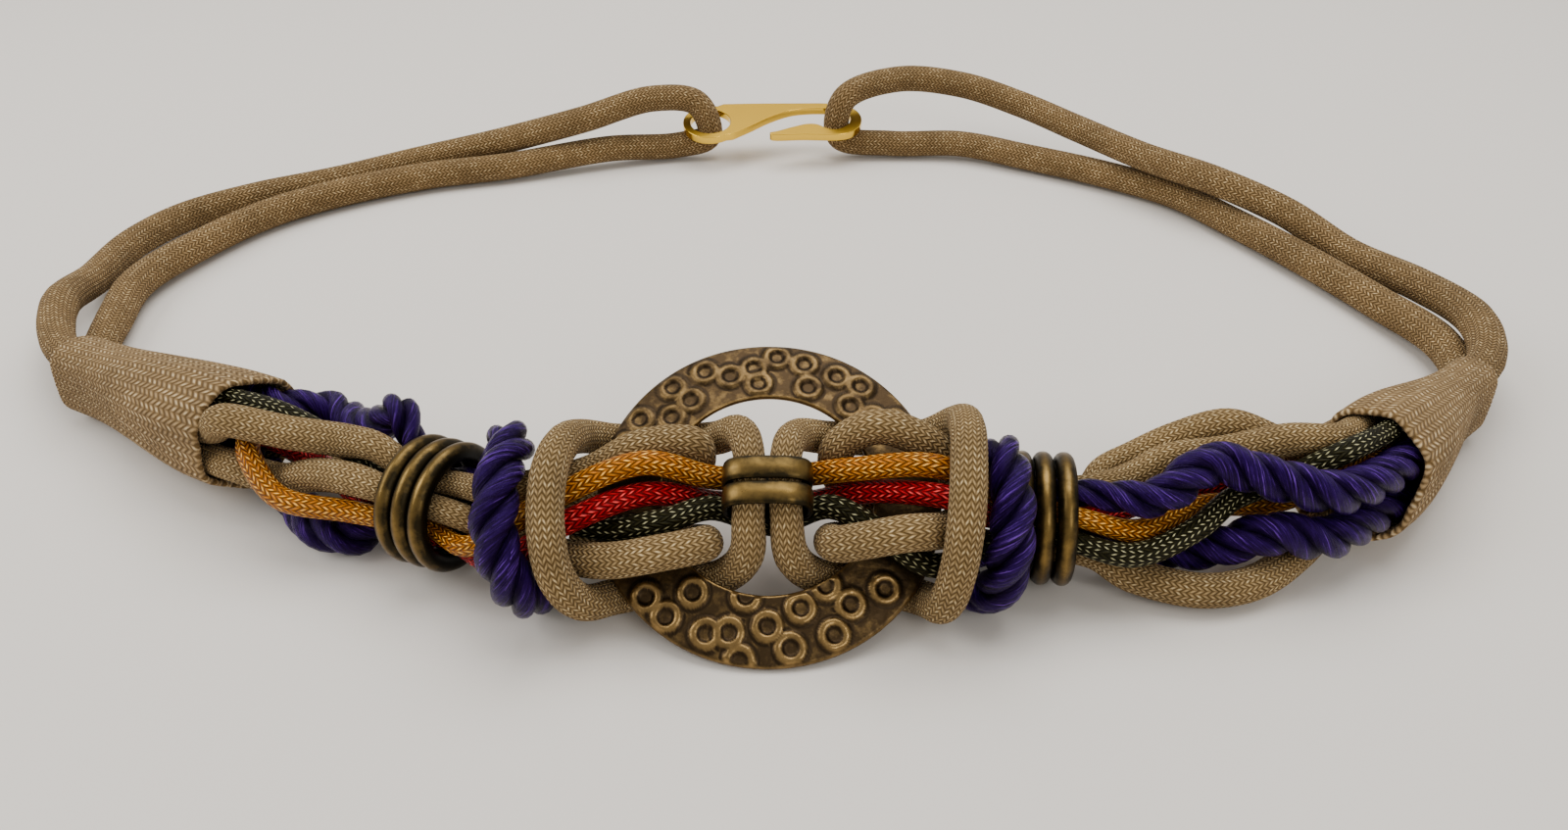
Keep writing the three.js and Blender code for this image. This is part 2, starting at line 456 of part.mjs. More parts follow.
for (const [side, { at, axis }] of Object.entries(STACKS)) {
  const direction = new THREE.Vector3(...axis).normalize();
  ['outer', 'middle', 'inner'].forEach((place, i) => {
    const [around, along] = STACK_SIDES;
    const wireRing = bare(new THREE.TorusGeometry(STACK_RADIUS, STACK_WIRE, around, along));
    const mesh = named(`${side}_wire_ring_${place}`, wireRing, antiqueBrass());
    const outward = side === 'left' ? -1 : 1;
    mesh.quaternion.setFromUnitVectors(Z_AXIS, direction);
    mesh.position.set(...at).addScaledVector(direction, outward * (1 - i) * STACK_PITCH);
    pieces.push(mesh);
  });
}

for (const [name, sleeve] of Object.entries(SLEEVES)) {
  pieces.push(named(name, sleeveGeometry(sleeve), sleeveCloth()));
}

for (const [name, { colour, rough, radius, closed }] of Object.entries(CORDS)) {
  const material = new THREE.MeshStandardMaterial({ color: colour, roughness: rough, metalness: 0 });
  pieces.push(named(name, cordGeometry(ROUTES[name], radius, closed), material));
}

const hook = named('hook_clasp', hookGeometry(), goldPlate());
hook.rotation.x = radians(HOOK_TILT);
hook.position.set(...HOOK_AT);
pieces.push(hook);

// The origin is under the middle of the belt, on the surface that it rests on
const inner = new THREE.Group();
inner.add(...pieces);
inner.updateMatrixWorld(true);
const bounds = new THREE.Box3().setFromObject(inner, true);
const middle = bounds.getCenter(new THREE.Vector3());
inner.position.set(-middle.x, -middle.y, -bounds.min.z);

const belt = new THREE.Group();
belt.add(inner);

export default belt;
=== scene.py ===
"""A rope belt that lies closed on a pale floor.

A domed ring is in front, with bundles of cord on both sides, wire rings round the bundles,
cloth sleeves where the bundles end, and two rope runs that meet at a hook. Sizes are in
millimetres in the design's own frame, and every mesh is in metres in the row frame.
"""

import logging
import math
from collections.abc import Callable, Sequence
from dataclasses import dataclass, replace
from enum import Enum
from functools import partial

import bmesh
import bpy
from mathutils import Matrix, Vector

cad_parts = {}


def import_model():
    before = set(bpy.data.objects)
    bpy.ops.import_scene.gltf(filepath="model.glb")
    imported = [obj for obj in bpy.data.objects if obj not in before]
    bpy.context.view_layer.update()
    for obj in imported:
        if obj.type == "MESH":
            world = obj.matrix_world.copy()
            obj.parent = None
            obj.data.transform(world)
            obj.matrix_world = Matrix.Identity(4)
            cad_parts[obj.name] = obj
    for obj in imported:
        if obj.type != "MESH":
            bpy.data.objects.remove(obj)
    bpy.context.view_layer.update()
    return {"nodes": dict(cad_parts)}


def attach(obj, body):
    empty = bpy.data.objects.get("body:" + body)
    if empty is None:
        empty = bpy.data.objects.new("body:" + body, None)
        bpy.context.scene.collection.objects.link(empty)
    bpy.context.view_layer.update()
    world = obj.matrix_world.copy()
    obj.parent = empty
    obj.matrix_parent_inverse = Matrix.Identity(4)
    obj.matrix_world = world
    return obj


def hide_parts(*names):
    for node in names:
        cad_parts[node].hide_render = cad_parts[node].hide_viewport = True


LOG = logging.getLogger("rope_belt")

MM = 0.001
TURN = 2 * math.pi
DESIGN_SHIFT = Vector((6.8430, -90.4607, 0.5196))  # from the design's origin to the row's, mm

Row = tuple[float, float, float, float]
Place = Callable[[int, int], Vector]
Sheet = Callable[[int, int], tuple[float, float]]
PlaceKey = tuple[float, ...]

# Routes of the cords, the same as in the part's source: x, y, z in mm and a share of the width
ROUTES: dict[str, list[Row]] = {
    "orange_cord": [
        (-110.1, 29, 14.7, 0.85), (-95.5, 20.9, 15.8, 0.94), (-90.5, 9.7, 16, 0.96),
        (-83.5, 2.5, 12.6, 0.97), (-70.1, 0.1, 11.3, 0.94), (-56.3, -3.9, 11, 0.74),
        (-48.2, -10.1, 12.5, 0.85), (-34.4, -7.4, 20.1, 0.96), (-20.1, -3.8, 24.5, 0.97),
        (-8.9, -0.4, 19, 0.97), (2.3, 2.8, 16.7, 0.97), (13.6, -2.7, 22.4, 0.97),
        (26.5, -5.3, 25, 0.97), (38.9, -3, 16.9, 0.85), (50.7, -6.3, 15.3, 0.79),
        (60.9, -5.6, 11.9, 0.97), (74.8, 2.5, 10.8, 0.97), (86.8, 4.7, 9.7, 0.97),
        (100.8, 9.1, 12.4, 0.94), (115.1, 20.2, 13.2, 0.85),
    ],
    "red_cord": [
        (-110.8, 29.6, 9.7, 0.85), (-95.9, 23.4, 11.3, 0.95), (-82.6, 16.8, 9.7, 0.97),
        (-74.7, 8.9, 10.5, 0.97), (-66, 2.4, 7.9, 0.92), (-53.2, -3.7, 8, 0.77),
        (-43.6, -11.2, 10, 0.88), (-32.2, -10.4, 17.5, 0.97), (-19.9, -5.7, 19.7, 0.97),
        (-8.7, -0.5, 13.9, 0.97), (5.4, 0.6, 12.8, 0.97), (17.1, -3.7, 18.7, 0.97),
        (29.8, -9.4, 21.5, 0.96), (35, -8.3, 17.3, 0.88), (38.9, -1.4, 11.7, 0.76),
        (54.4, -1, 11.1, 0.89), (70.3, 6.1, 10.7, 0.96), (85.4, 9.5, 9.9, 0.97),
        (100.3, 13.3, 7, 0.94), (114.4, 20.9, 9.2, 0.85),
    ],
    "olive_cord": [
        (-113.5, 26.9, 16.8, 0.85), (-100, 22.2, 20.2, 0.94), (-87.2, 18.4, 19.3, 0.97),
        (-74.9, 13.7, 14.7, 0.97), (-64, 6.1, 12, 0.89), (-52.2, 0.5, 13.1, 0.76),
        (-41.4, -2.6, 14.6, 0.88), (-27.2, -8, 14.5, 0.97), (-16.9, -9.3, 17, 0.97),
        (-9.3, -5.4, 16.6, 0.97), (0.5, -3.9, 12, 0.97), (10.2, -5.7, 17.1, 0.97),
        (17.1, -9.4, 15.6, 0.97), (26, -13.5, 11.4, 0.96), (35.1, -9.1, 11.5, 0.86),
        (42.7, -6.1, 12.6, 0.77), (58.7, -10.5, 10.9, 0.97), (69.7, -6.5, 12.7, 0.97),
        (78.4, 0.5, 14, 0.97), (87.9, 4, 15.4, 0.97), (96.7, 4.4, 20.7, 0.96),
        (105.6, 10, 20.4, 0.92), (116.2, 20.9, 17.6, 0.85),
    ],
    "left_looped_cord": [
        (-113.9, 25.8, 11.5, 0.8), (-106.7, 21.4, 14.7, 0.91), (-100.3, 18, 16.3, 0.95),
        (-94.4, 12.7, 21.6, 0.97), (-83, 10.9, 20.2, 0.97), (-73.1, 9.9, 19.2, 0.98),
        (-66.7, 7.1, 19.8, 0.85), (-60, 3.8, 17, 0.71), (-51.1, -0.7, 17.7, 0.72),
        (-43.9, -4.4, 19.6, 0.79), (-37.5, -2.9, 19.6, 0.87), (-29.2, -0.2, 20, 0.96),
        (-20.9, 2, 23.6, 0.97), (-12.3, 3.9, 22.6, 0.97), (-12.9, 5.1, 15.9, 0.97),
        (-21.2, 4.3, 11.3, 0.98), (-29.9, 2.1, 11.3, 0.94), (-37.3, 1.3, 12.3, 0.84),
        (-44.7, 2.2, 11.2, 0.76), (-52.3, 5.3, 10, 0.69), (-61.3, 9.2, 9.3, 0.76),
        (-68.4, 14.1, 7.6, 0.86), (-75.4, 18, 5.3, 0.94), (-83.6, 22.9, 4.7, 0.98),
        (-93.2, 26.8, 7.8, 0.96), (-99.9, 31.6, 8.3, 0.91), (-107.5, 36, 8.9, 0.8),
    ],
    "left_short_cord": [
        (-112.5, 27, 6.1, 0.8), (-103.9, 19.4, 8.9, 0.93), (-95.6, 13.7, 10.8, 0.96),
        (-86.5, 10.1, 10.7, 0.97), (-77.8, 6.5, 14.4, 0.97), (-69.6, 2.9, 15.9, 0.93),
        (-60.3, -0.8, 14.9, 0.7), (-50.6, -5.3, 14.9, 0.73), (-41.4, -6.3, 10.6, 0.8),
        (-33.6, -9.8, 10.3, 0.93), (-25.3, -14.1, 12.9, 0.97), (-16.6, -14.6, 15, 0.97),
        (-10.2, -10.7, 13.5, 0.97), (-12.9, -5.2, 9.2, 0.97), (-21.8, -3.6, 7.4, 0.97),
        (-33.2, -3, 7.5, 0.97),
    ],
    "right_looped_cord": [
        (112.3, 24, 15.2, 0.8), (105.9, 17.3, 17.2, 0.91), (98.8, 11.1, 18.6, 0.96),
        (89.4, 9.3, 19.8, 0.97), (78.5, 7.8, 18.3, 0.97), (68.3, 6.6, 17.5, 0.94),
        (60.8, 3.9, 15.4, 0.83), (54.3, 2, 15.3, 0.71), (42.5, 4, 12.4, 0.7),
        (35.6, 3.3, 13.4, 0.77), (32.5, 0.2, 16, 0.88), (28.1, 1.6, 22.9, 0.98),
        (18.1, 2.9, 27, 0.97), (11.4, 4.6, 20.9, 0.97), (13.4, 5.2, 12.7, 0.97),
        (21.4, 4.7, 10.7, 0.98), (29.1, 5.7, 11.6, 0.93), (31.6, 10.6, 12.5, 0.8),
        (37.3, 4.4, 7.9, 0.71), (53.3, 3.7, 10.6, 0.7), (58.3, 9.5, 13, 0.78),
        (64.3, 12, 14.4, 0.89), (71.6, 14, 16.7, 0.97), (81, 15.2, 18.9, 0.97),
        (90.6, 14.6, 15.5, 0.97), (98.9, 14.3, 12.5, 0.96), (105.3, 20.4, 11.4, 0.91),
        (112.7, 25.7, 8.9, 0.8),
    ],
    "right_short_cord": [
        (115.8, 18.2, 4.7, 0.8), (107.6, 11.8, 4.7, 0.92), (99.5, 6.4, 5.3, 0.96),
        (90.9, -1.4, 3.4, 0.97), (81.4, -8.3, 3.1, 0.97), (71.7, -10.6, 3.3, 0.97),
        (60.4, -8.3, 4.8, 0.98), (54.1, -6.2, 7.5, 0.84), (44.3, -5.4, 8.4, 0.69),
        (34.3, -4.8, 9.4, 0.75), (31.6, -5.5, 13.3, 0.89), (27.4, -11.3, 16.7, 0.97),
        (21.3, -15, 19.2, 0.97), (11.6, -13, 15.4, 0.97), (10.8, -7, 11.2, 0.97),
        (17.8, -3.7, 8.2, 0.97), (29.5, -0.3, 8.4, 0.97),
    ],
    "left_purple_rope": [
        (-110.4, 36.3, 14.6, 0.68), (-101.6, 32, 14.9, 0.81), (-93.1, 27.6, 14.8, 0.86),
        (-82.8, 29.5, 12.6, 0.89), (-76.5, 23.4, 13.2, 0.9), (-69.9, 18.3, 16.9, 0.89),
        (-64.2, 14.4, 22.5, 0.74), (-60.1, 8.7, 15.2, 0.57), (-47.9, 2.9, 16.5, 0.55),
        (-43.3, 1.9, 25.1, 0.76), (-41.2, -0.3, 26.1, 0.9), (-41.7, -8.9, 26.1, 0.94),
        (-41.9, -16.3, 19, 0.95), (-39.4, -17.7, 10, 0.95), (-37.9, -11.8, 4.2, 0.92),
        (-40.9, -5.1, 4, 0.76), (-48.1, -1.4, 6.8, 0.61), (-57.5, 3.1, 7.1, 0.53),
        (-68.5, 6.4, 3.7, 0.64), (-72.3, 2.9, 3.5, 0.83), (-79.9, 4.8, 4, 0.89),
        (-86.2, 12.6, 3.8, 0.9), (-94.3, 19.1, 6, 0.88), (-102, 25.4, 5.1, 0.81),
        (-109.5, 31.9, 4.9, 0.68),
    ],
    "right_purple_rope": [
        (118.3, 16.8, 15.2, 0.68), (109.9, 8.1, 16.3, 0.83), (101.5, 1.3, 17.1, 0.92),
        (93.2, -2.6, 17.6, 0.95), (82.6, -1.4, 19.7, 0.95), (73.1, 0.4, 21.2, 0.95),
        (63.3, -4.7, 18.2, 0.85), (54, -2.9, 17.5, 0.63), (41.2, 1, 16.1, 0.53),
        (36.7, 1.7, 19.8, 0.63), (37.9, -2.4, 25.3, 0.83), (38.3, -11, 22.5, 0.91),
        (37.7, -15.7, 14.1, 0.95), (36.2, -13.9, 5.8, 0.95), (31.4, -7.4, 4.1, 0.91),
        (34.5, -2.1, 3.2, 0.71), (41, -1.6, 5.7, 0.53), (57.3, -1.1, 6.3, 0.62),
        (65, -2.6, 5.1, 0.8), (74.3, -3.9, 6.7, 0.89), (83.6, -4.9, 10.8, 0.95),
        (92.9, -4.7, 9.6, 0.93), (101.7, 0.7, 9.3, 0.89), (110, 7.2, 9.1, 0.83),
        (118.4, 15.6, 9, 0.68),
    ],
    "left_binding_loop": [
        (-3.1, -1.1, 24.1, 0.86), (-3.1, -9.7, 18.4, 0.86), (-3.4, -11.8, 12.4, 0.96),
        (-7.4, -10.5, 6.4, 0.97), (-16.4, -10.5, 4.2, 0.97), (-24.8, -11.8, 3.2, 0.97),
        (-29.7, -17, 6.8, 0.97), (-32.7, -18.6, 13.6, 0.97), (-34, -15.5, 20.7, 0.97),
        (-34.1, -8.4, 26, 0.97), (-33.3, -0.1, 25.8, 0.97), (-31.7, 8.4, 21.2, 0.97),
        (-26.9, 12.8, 17.3, 0.97), (-18.4, 13, 17, 0.97), (-9.4, 10.8, 19.1, 0.97),
        (-4.9, 6, 23.7, 0.95),
    ],
    "right_binding_loop": [
        (3, -0.6, 24.2, 0.86), (3, -9.9, 18.1, 0.86), (3.9, -11.6, 11.7, 0.96),
        (8, -10.2, 6.2, 0.97), (16.7, -9.9, 4.3, 0.97), (25.2, -12.2, 3.2, 0.97),
        (27.9, -17.8, 7, 0.97), (29.5, -18.5, 14.9, 0.97), (30.5, -15.2, 23.4, 0.97),
        (31.3, -8.1, 28.2, 0.97), (32.2, 0.8, 28.2, 0.97), (32.2, 9.3, 23.6, 0.97),
        (27.2, 13.1, 18, 0.97), (18.4, 13.2, 17.2, 0.97), (10, 11.6, 18.7, 0.97),
        (4.9, 6.9, 22.4, 0.94),
    ],
    "left_back_rope": [
        (-133.3, 42.7, 12.5, 0.74), (-149.5, 55.7, 10.4, 0.88), (-161.1, 76.7, 9.9, 1),
        (-166.2, 99.1, 5.1, 1), (-167.1, 120.7, 4.3, 1), (-160.9, 137.8, 4.2, 1),
        (-147.2, 151.4, 4.2, 1), (-127, 163.1, 4.6, 1), (-107.5, 174.8, 5.8, 1),
        (-83.9, 180, 9.6, 1), (-58.6, 185.2, 14.7, 1), (-37.7, 193.4, 18.5, 1),
        (-24.2, 193.5, 17, 1), (-20.8, 192.7, 7.1, 1), (-30.7, 192.3, 4.1, 1), (-51.3, 186.7, 5, 1),
        (-80.3, 175, 4, 1), (-103.1, 167.5, 3.9, 1), (-123, 155.8, 3.9, 1), (-138.6, 141, 4, 1),
        (-149.1, 121.2, 4.1, 1), (-155.3, 99, 4.4, 1), (-152.6, 80.1, 3.9, 0.99),
        (-145.3, 56, 4.1, 0.82), (-133.3, 40.7, 6.3, 0.74),
    ],
    "right_back_rope": [
        (129.1, 33.4, 11.3, 0.74), (146.4, 48.8, 11.5, 0.93), (153.4, 66.9, 11.4, 1),
        (152.1, 88, 8.8, 1), (144.7, 109.2, 6.7, 1), (134.8, 127.2, 9.9, 1),
        (120.3, 142.5, 12.6, 1), (105.6, 161.1, 12.4, 1), (90.8, 181.4, 13.4, 1),
        (76.2, 196.1, 15.8, 1), (58.2, 202.5, 19.9, 1), (37.5, 201.8, 21.8, 1),
        (21.1, 194.5, 17.9, 1), (19.8, 193.9, 6.5, 1), (36.3, 193.7, 4.1, 1), (57.8, 192.2, 4.5, 1),
        (76.7, 182.5, 4, 1), (98.1, 168.1, 4, 1), (113.8, 153.6, 4, 1), (124.8, 134, 3.9, 1),
        (135.1, 111.3, 4, 1), (143.5, 89.1, 4, 1), (148.7, 68.4, 4.8, 0.99),
        (145.2, 51.2, 4.5, 0.86), (131.8, 32.9, 5.2, 0.74),
    ],
}


class Section(Enum):
    """How a grid closes on itself."""

    TUBE = "closed round, open at its ends"
    LOOP = "closed round and along"


class Side(Enum):
    """A side of the belt, by the word that its nodes' names start with."""

    LEFT = "left"
    RIGHT = "right"


def linear(code: str) -> tuple[float, float, float, float]:
    """Turns an sRGB hex code to the linear colour that a shader takes.

    Args:
        code: six hex digits.

    Returns:
        Linear red, green and blue, and an alpha of 1.
    """
    parts = [int(code[i : i + 2], 16) / 255 for i in (0, 2, 4)]
    curve = [c / 12.92 if c <= 0.04045 else ((c + 0.055) / 1.055) ** 2.4 for c in parts]
    return (curve[0], curve[1], curve[2], 1.0)


def add_node(
    tree: bpy.types.NodeTree, kind: str, inputs: dict | None = None, **settings: object
) -> bpy.types.Node:
    """Adds one node with its settings, values and links.

    Args:
        tree: the material's or world's node tree.
        kind: the node's type name.
        inputs: by socket name or number, a value, a socket or a node to link from.
        settings: the node's own properties.

    Returns:
        The new node.
    """
    node = tree.nodes.new(kind)
    for name, value in settings.items():
        setattr(node, name, value)
    for key, value in (inputs or {}).items():
        source = value.outputs[0] if isinstance(value, bpy.types.Node) else value
        if isinstance(source, bpy.types.NodeSocket):
            tree.links.new(source, node.inputs[key])
        else:
            node.inputs[key].default_value = source
    return node


def row_point(design: Vector) -> Vector:
    """Turns a point of the design, in mm, to the row frame, in metres."""
    return (design + DESIGN_SHIFT) * MM


def smooth_step(low: float, high: float, value: float) -> float:
    """Gives 0 below low, 1 above high and a smooth rise between them."""
    share = min(1.0, max(0.0, (value - low) / (high - low)))
    return share * share * (3 - 2 * share)


def squared(value: float, power: float) -> float:
    """Raises a sine or cosine to a power under 1 and keeps its sign, which squares an oval."""
    return math.copysign(abs(value) ** power, value)


def carried_grid(
    along: int, around: int, place: Place, sheet: Sheet, section: Section
) -> bmesh.types.BMesh:
    """Makes a grid, carries its corners to their places and closes its seams.

    Args:
        along: number of faces along the piece.
        around: number of faces round its section.
        place: the place in metres of the corner at a step along and a step around.
        sheet: the surface's own coordinates there: share of the way round, and mm along.
        section: how the grid closes on itself.

    Returns:
        A closed bmesh with its faces outward and the map named surface.
    """
    bm = bmesh.new()
    surface = bm.loops.layers.uv.new("surface")
    bmesh.ops.create_grid(bm, x_segments=along, y_segments=around, size=0.5)
    steps = {
        v: (round((v.co.x + 0.5) * along), round((v.co.y + 0.5) * around)) for v in bm.verts
    }
    for face in bm.faces:
        face.smooth = True
        for loop in face.loops:
            loop[surface].uv = sheet(*steps[loop.vert])
    for vert, step in steps.items():
        vert.co = place(*step)
    bmesh.ops.remove_doubles(bm, verts=bm.verts, dist=1e-6)
    if section is Section.TUBE:
        open_edges = [edge for edge in bm.edges if edge.is_boundary]
        bmesh.ops.holes_fill(bm, edges=open_edges, sides=0)
    bmesh.ops.recalc_face_normals(bm, faces=bm.faces)
    return bm


def finished(
    name: str, bm: bmesh.types.BMesh, materials: Sequence[bpy.types.Material]
) -> bpy.types.Object:
    """Turns a bmesh into a piece at the origin, with its materials.

    Args:
        name: the piece's name.
        bm: its mesh, which is freed.
        materials: its materials, in the order of its faces' indices.

    Returns:
        The new object.
    """
    mesh = bpy.data.meshes.new(name)
    bm.to_mesh(mesh)
    bm.free()
    for material in materials:
        mesh.materials.append(material)
    piece = bpy.data.objects.new(name, mesh)
    bpy.context.scene.collection.objects.link(piece)
    return piece


def stand_for(piece: bpy.types.Object, node: str, slot: str) -> None:
    """Puts a piece on the belt's one body, in the place of a node.

    Args:
        piece: the new piece.
        node: the node that it stands for.
        slot: not used.
    """
    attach(piece, "root")
    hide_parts(node)
    LOG.info("%s stands for %s, %d faces", piece.name, node, len(piece.data.polygons))


def place_key(place: Vector) -> PlaceKey:
    """Gives a place's key among marks, rounded to 0.1 micrometre."""
    return tuple(round(c, 7) for c in place)


def mark_places(bm: bmesh.types.BMesh, layer_name: str, marks: dict[PlaceKey, float]) -> None:
    """Writes a value on each corner of a mesh as a named attribute.

    Args:
        bm: the mesh.
        layer_name: the attribute's name.
        marks: the value at each place.
    """
    layer = bm.verts.layers.float.new(layer_name)
    for vert in bm.verts:
        vert[layer] = marks.get(place_key(vert.co), 0.0)


@dataclass(frozen=True)
class Station:
    """One section of a cord: its middle, its two cross axes, width share and mm along."""

    middle: Vector
    across: Vector
    up: Vector
    share: float
    along: float

    def at(self, angle: float, reach: float) -> Vector:
        """Gives the point at an angle and a distance in mm from the middle."""
        return self.middle + self.across * (reach * math.cos(angle)) + self.up * (
            reach * math.sin(angle)
        )


@dataclass
class Route:
    """A smooth line through given points."""

    rows: Sequence[Row]
    closed: bool = False
    step: float = 1.1

    def _corner(self, index: int) -> Vector:
        """Gives a point of the route, one past its ends too.

        Args:
            index: the point's number, from -1 to one past the last.

        Returns:
            The point in mm.
        """
        count = len(self.rows)
        if self.closed:
            return Vector(self.rows[index % count][:3])
        if index < 0:
            return 2 * Vector(self.rows[0][:3]) - Vector(self.rows[1][:3])
        if index >= count:
            return 2 * Vector(self.rows[-1][:3]) - Vector(self.rows[-2][:3])
        return Vector(self.rows[index][:3])

    def _on_span(self, span: int, t: float) -> Vector:
        """Gives a point between two points of the route, on a centripetal curve.

        Args:
            span: the number of the point before it.
            t: the share of the way to the next.

        Returns:
            The point in mm.
        """
        p0, p1, p2, p3 = (self._corner(span + k) for k in (-1, 0, 1, 2))
        d0, d1, d2 = (math.sqrt((b - a).length) for a, b in ((p0, p1), (p1, p2), (p2, p3)))
        m1 = ((p1 - p0) / d0 - (p2 - p0) / (d0 + d1) + (p2 - p1) / d1) * d1
        m2 = ((p2 - p1) / d1 - (p3 - p1) / (d1 + d2) + (p3 - p2) / d2) * d1
        square = 3 * (p2 - p1) - 2 * m1 - m2
        cube = 2 * (p1 - p2) + m1 + m2
        return p1 + m1 * t + square * t**2 + cube * t**3

    def stations(self) -> list[Station]:
        """Samples the route, with frames that don't twist.

        Returns:
            The stations in order; on a closed route the last is the first again.
        """
        count = len(self.rows)
        places: list[Vector] = []
        shares: list[float] = []
        for span in range(count if self.closed else count - 1):
            ends = self._corner(span + 1) - self._corner(span)
            parts = max(2, round(ends.length / self.step))
            near, far = self.rows[span][3], self.rows[(span + 1) % count][3]
            for k in range(parts):
                places.append(self._on_span(span, k / parts))
                shares.append(near + (far - near) * k / parts)
        places.append(self._corner(count if self.closed else count - 1))
        shares.append(self.rows[0 if self.closed else -1][3])
        return self.framed(places, shares)

    def framed(self, places: list[Vector], shares: list[float]) -> list[Station]:
        """Carries a frame along the places without twist.

        Args:
            places: points along the route.
            shares: width shares there.

        Returns:
            One station for each place.
        """
        last = len(places) - 1
        tangents = []
        for i in range(last + 1):
            before = places[last - 1] if self.closed and i == 0 else places[max(0, i - 1)]
            after = places[1] if self.closed and i == last else places[min(last, i + 1)]
            tangents.append((after - before).normalized())
        side = tangents[0].cross(Vector((0, 0, 1)))
        if side.length < 0.3:
            side = tangents[0].cross(Vector((1, 0, 0)))
        sides = [side.normalized()]
        for before, after in zip(tangents, tangents[1:]):
            sides.append(before.rotation_difference(after) @ sides[-1])
        slip = 0.0
        if self.closed:
            slip = math.atan2(sides[-1].cross(sides[0]).dot(tangents[0]), sides[-1].dot(sides[0]))
        found = []
        along = 0.0
        for i, (place, tangent, across) in enumerate(zip(places, tangents, sides)):
            turned = Matrix.Rotation(slip * i / last, 3, tangent) @ across
            along += (place - places[i - 1]).length if i else 0.0
            up = tangent.cross(turned).normalized()
            found.append(Station(place, up.cross(tangent), up, shares[i], along))
        return found


def new_material(name: str) -> bpy.types.Material:
    """Starts a material whose node tree is empty."""
    made = bpy.data.materials.new(name)
    made.use_nodes = True
    made.node_tree.nodes.clear()
    return made


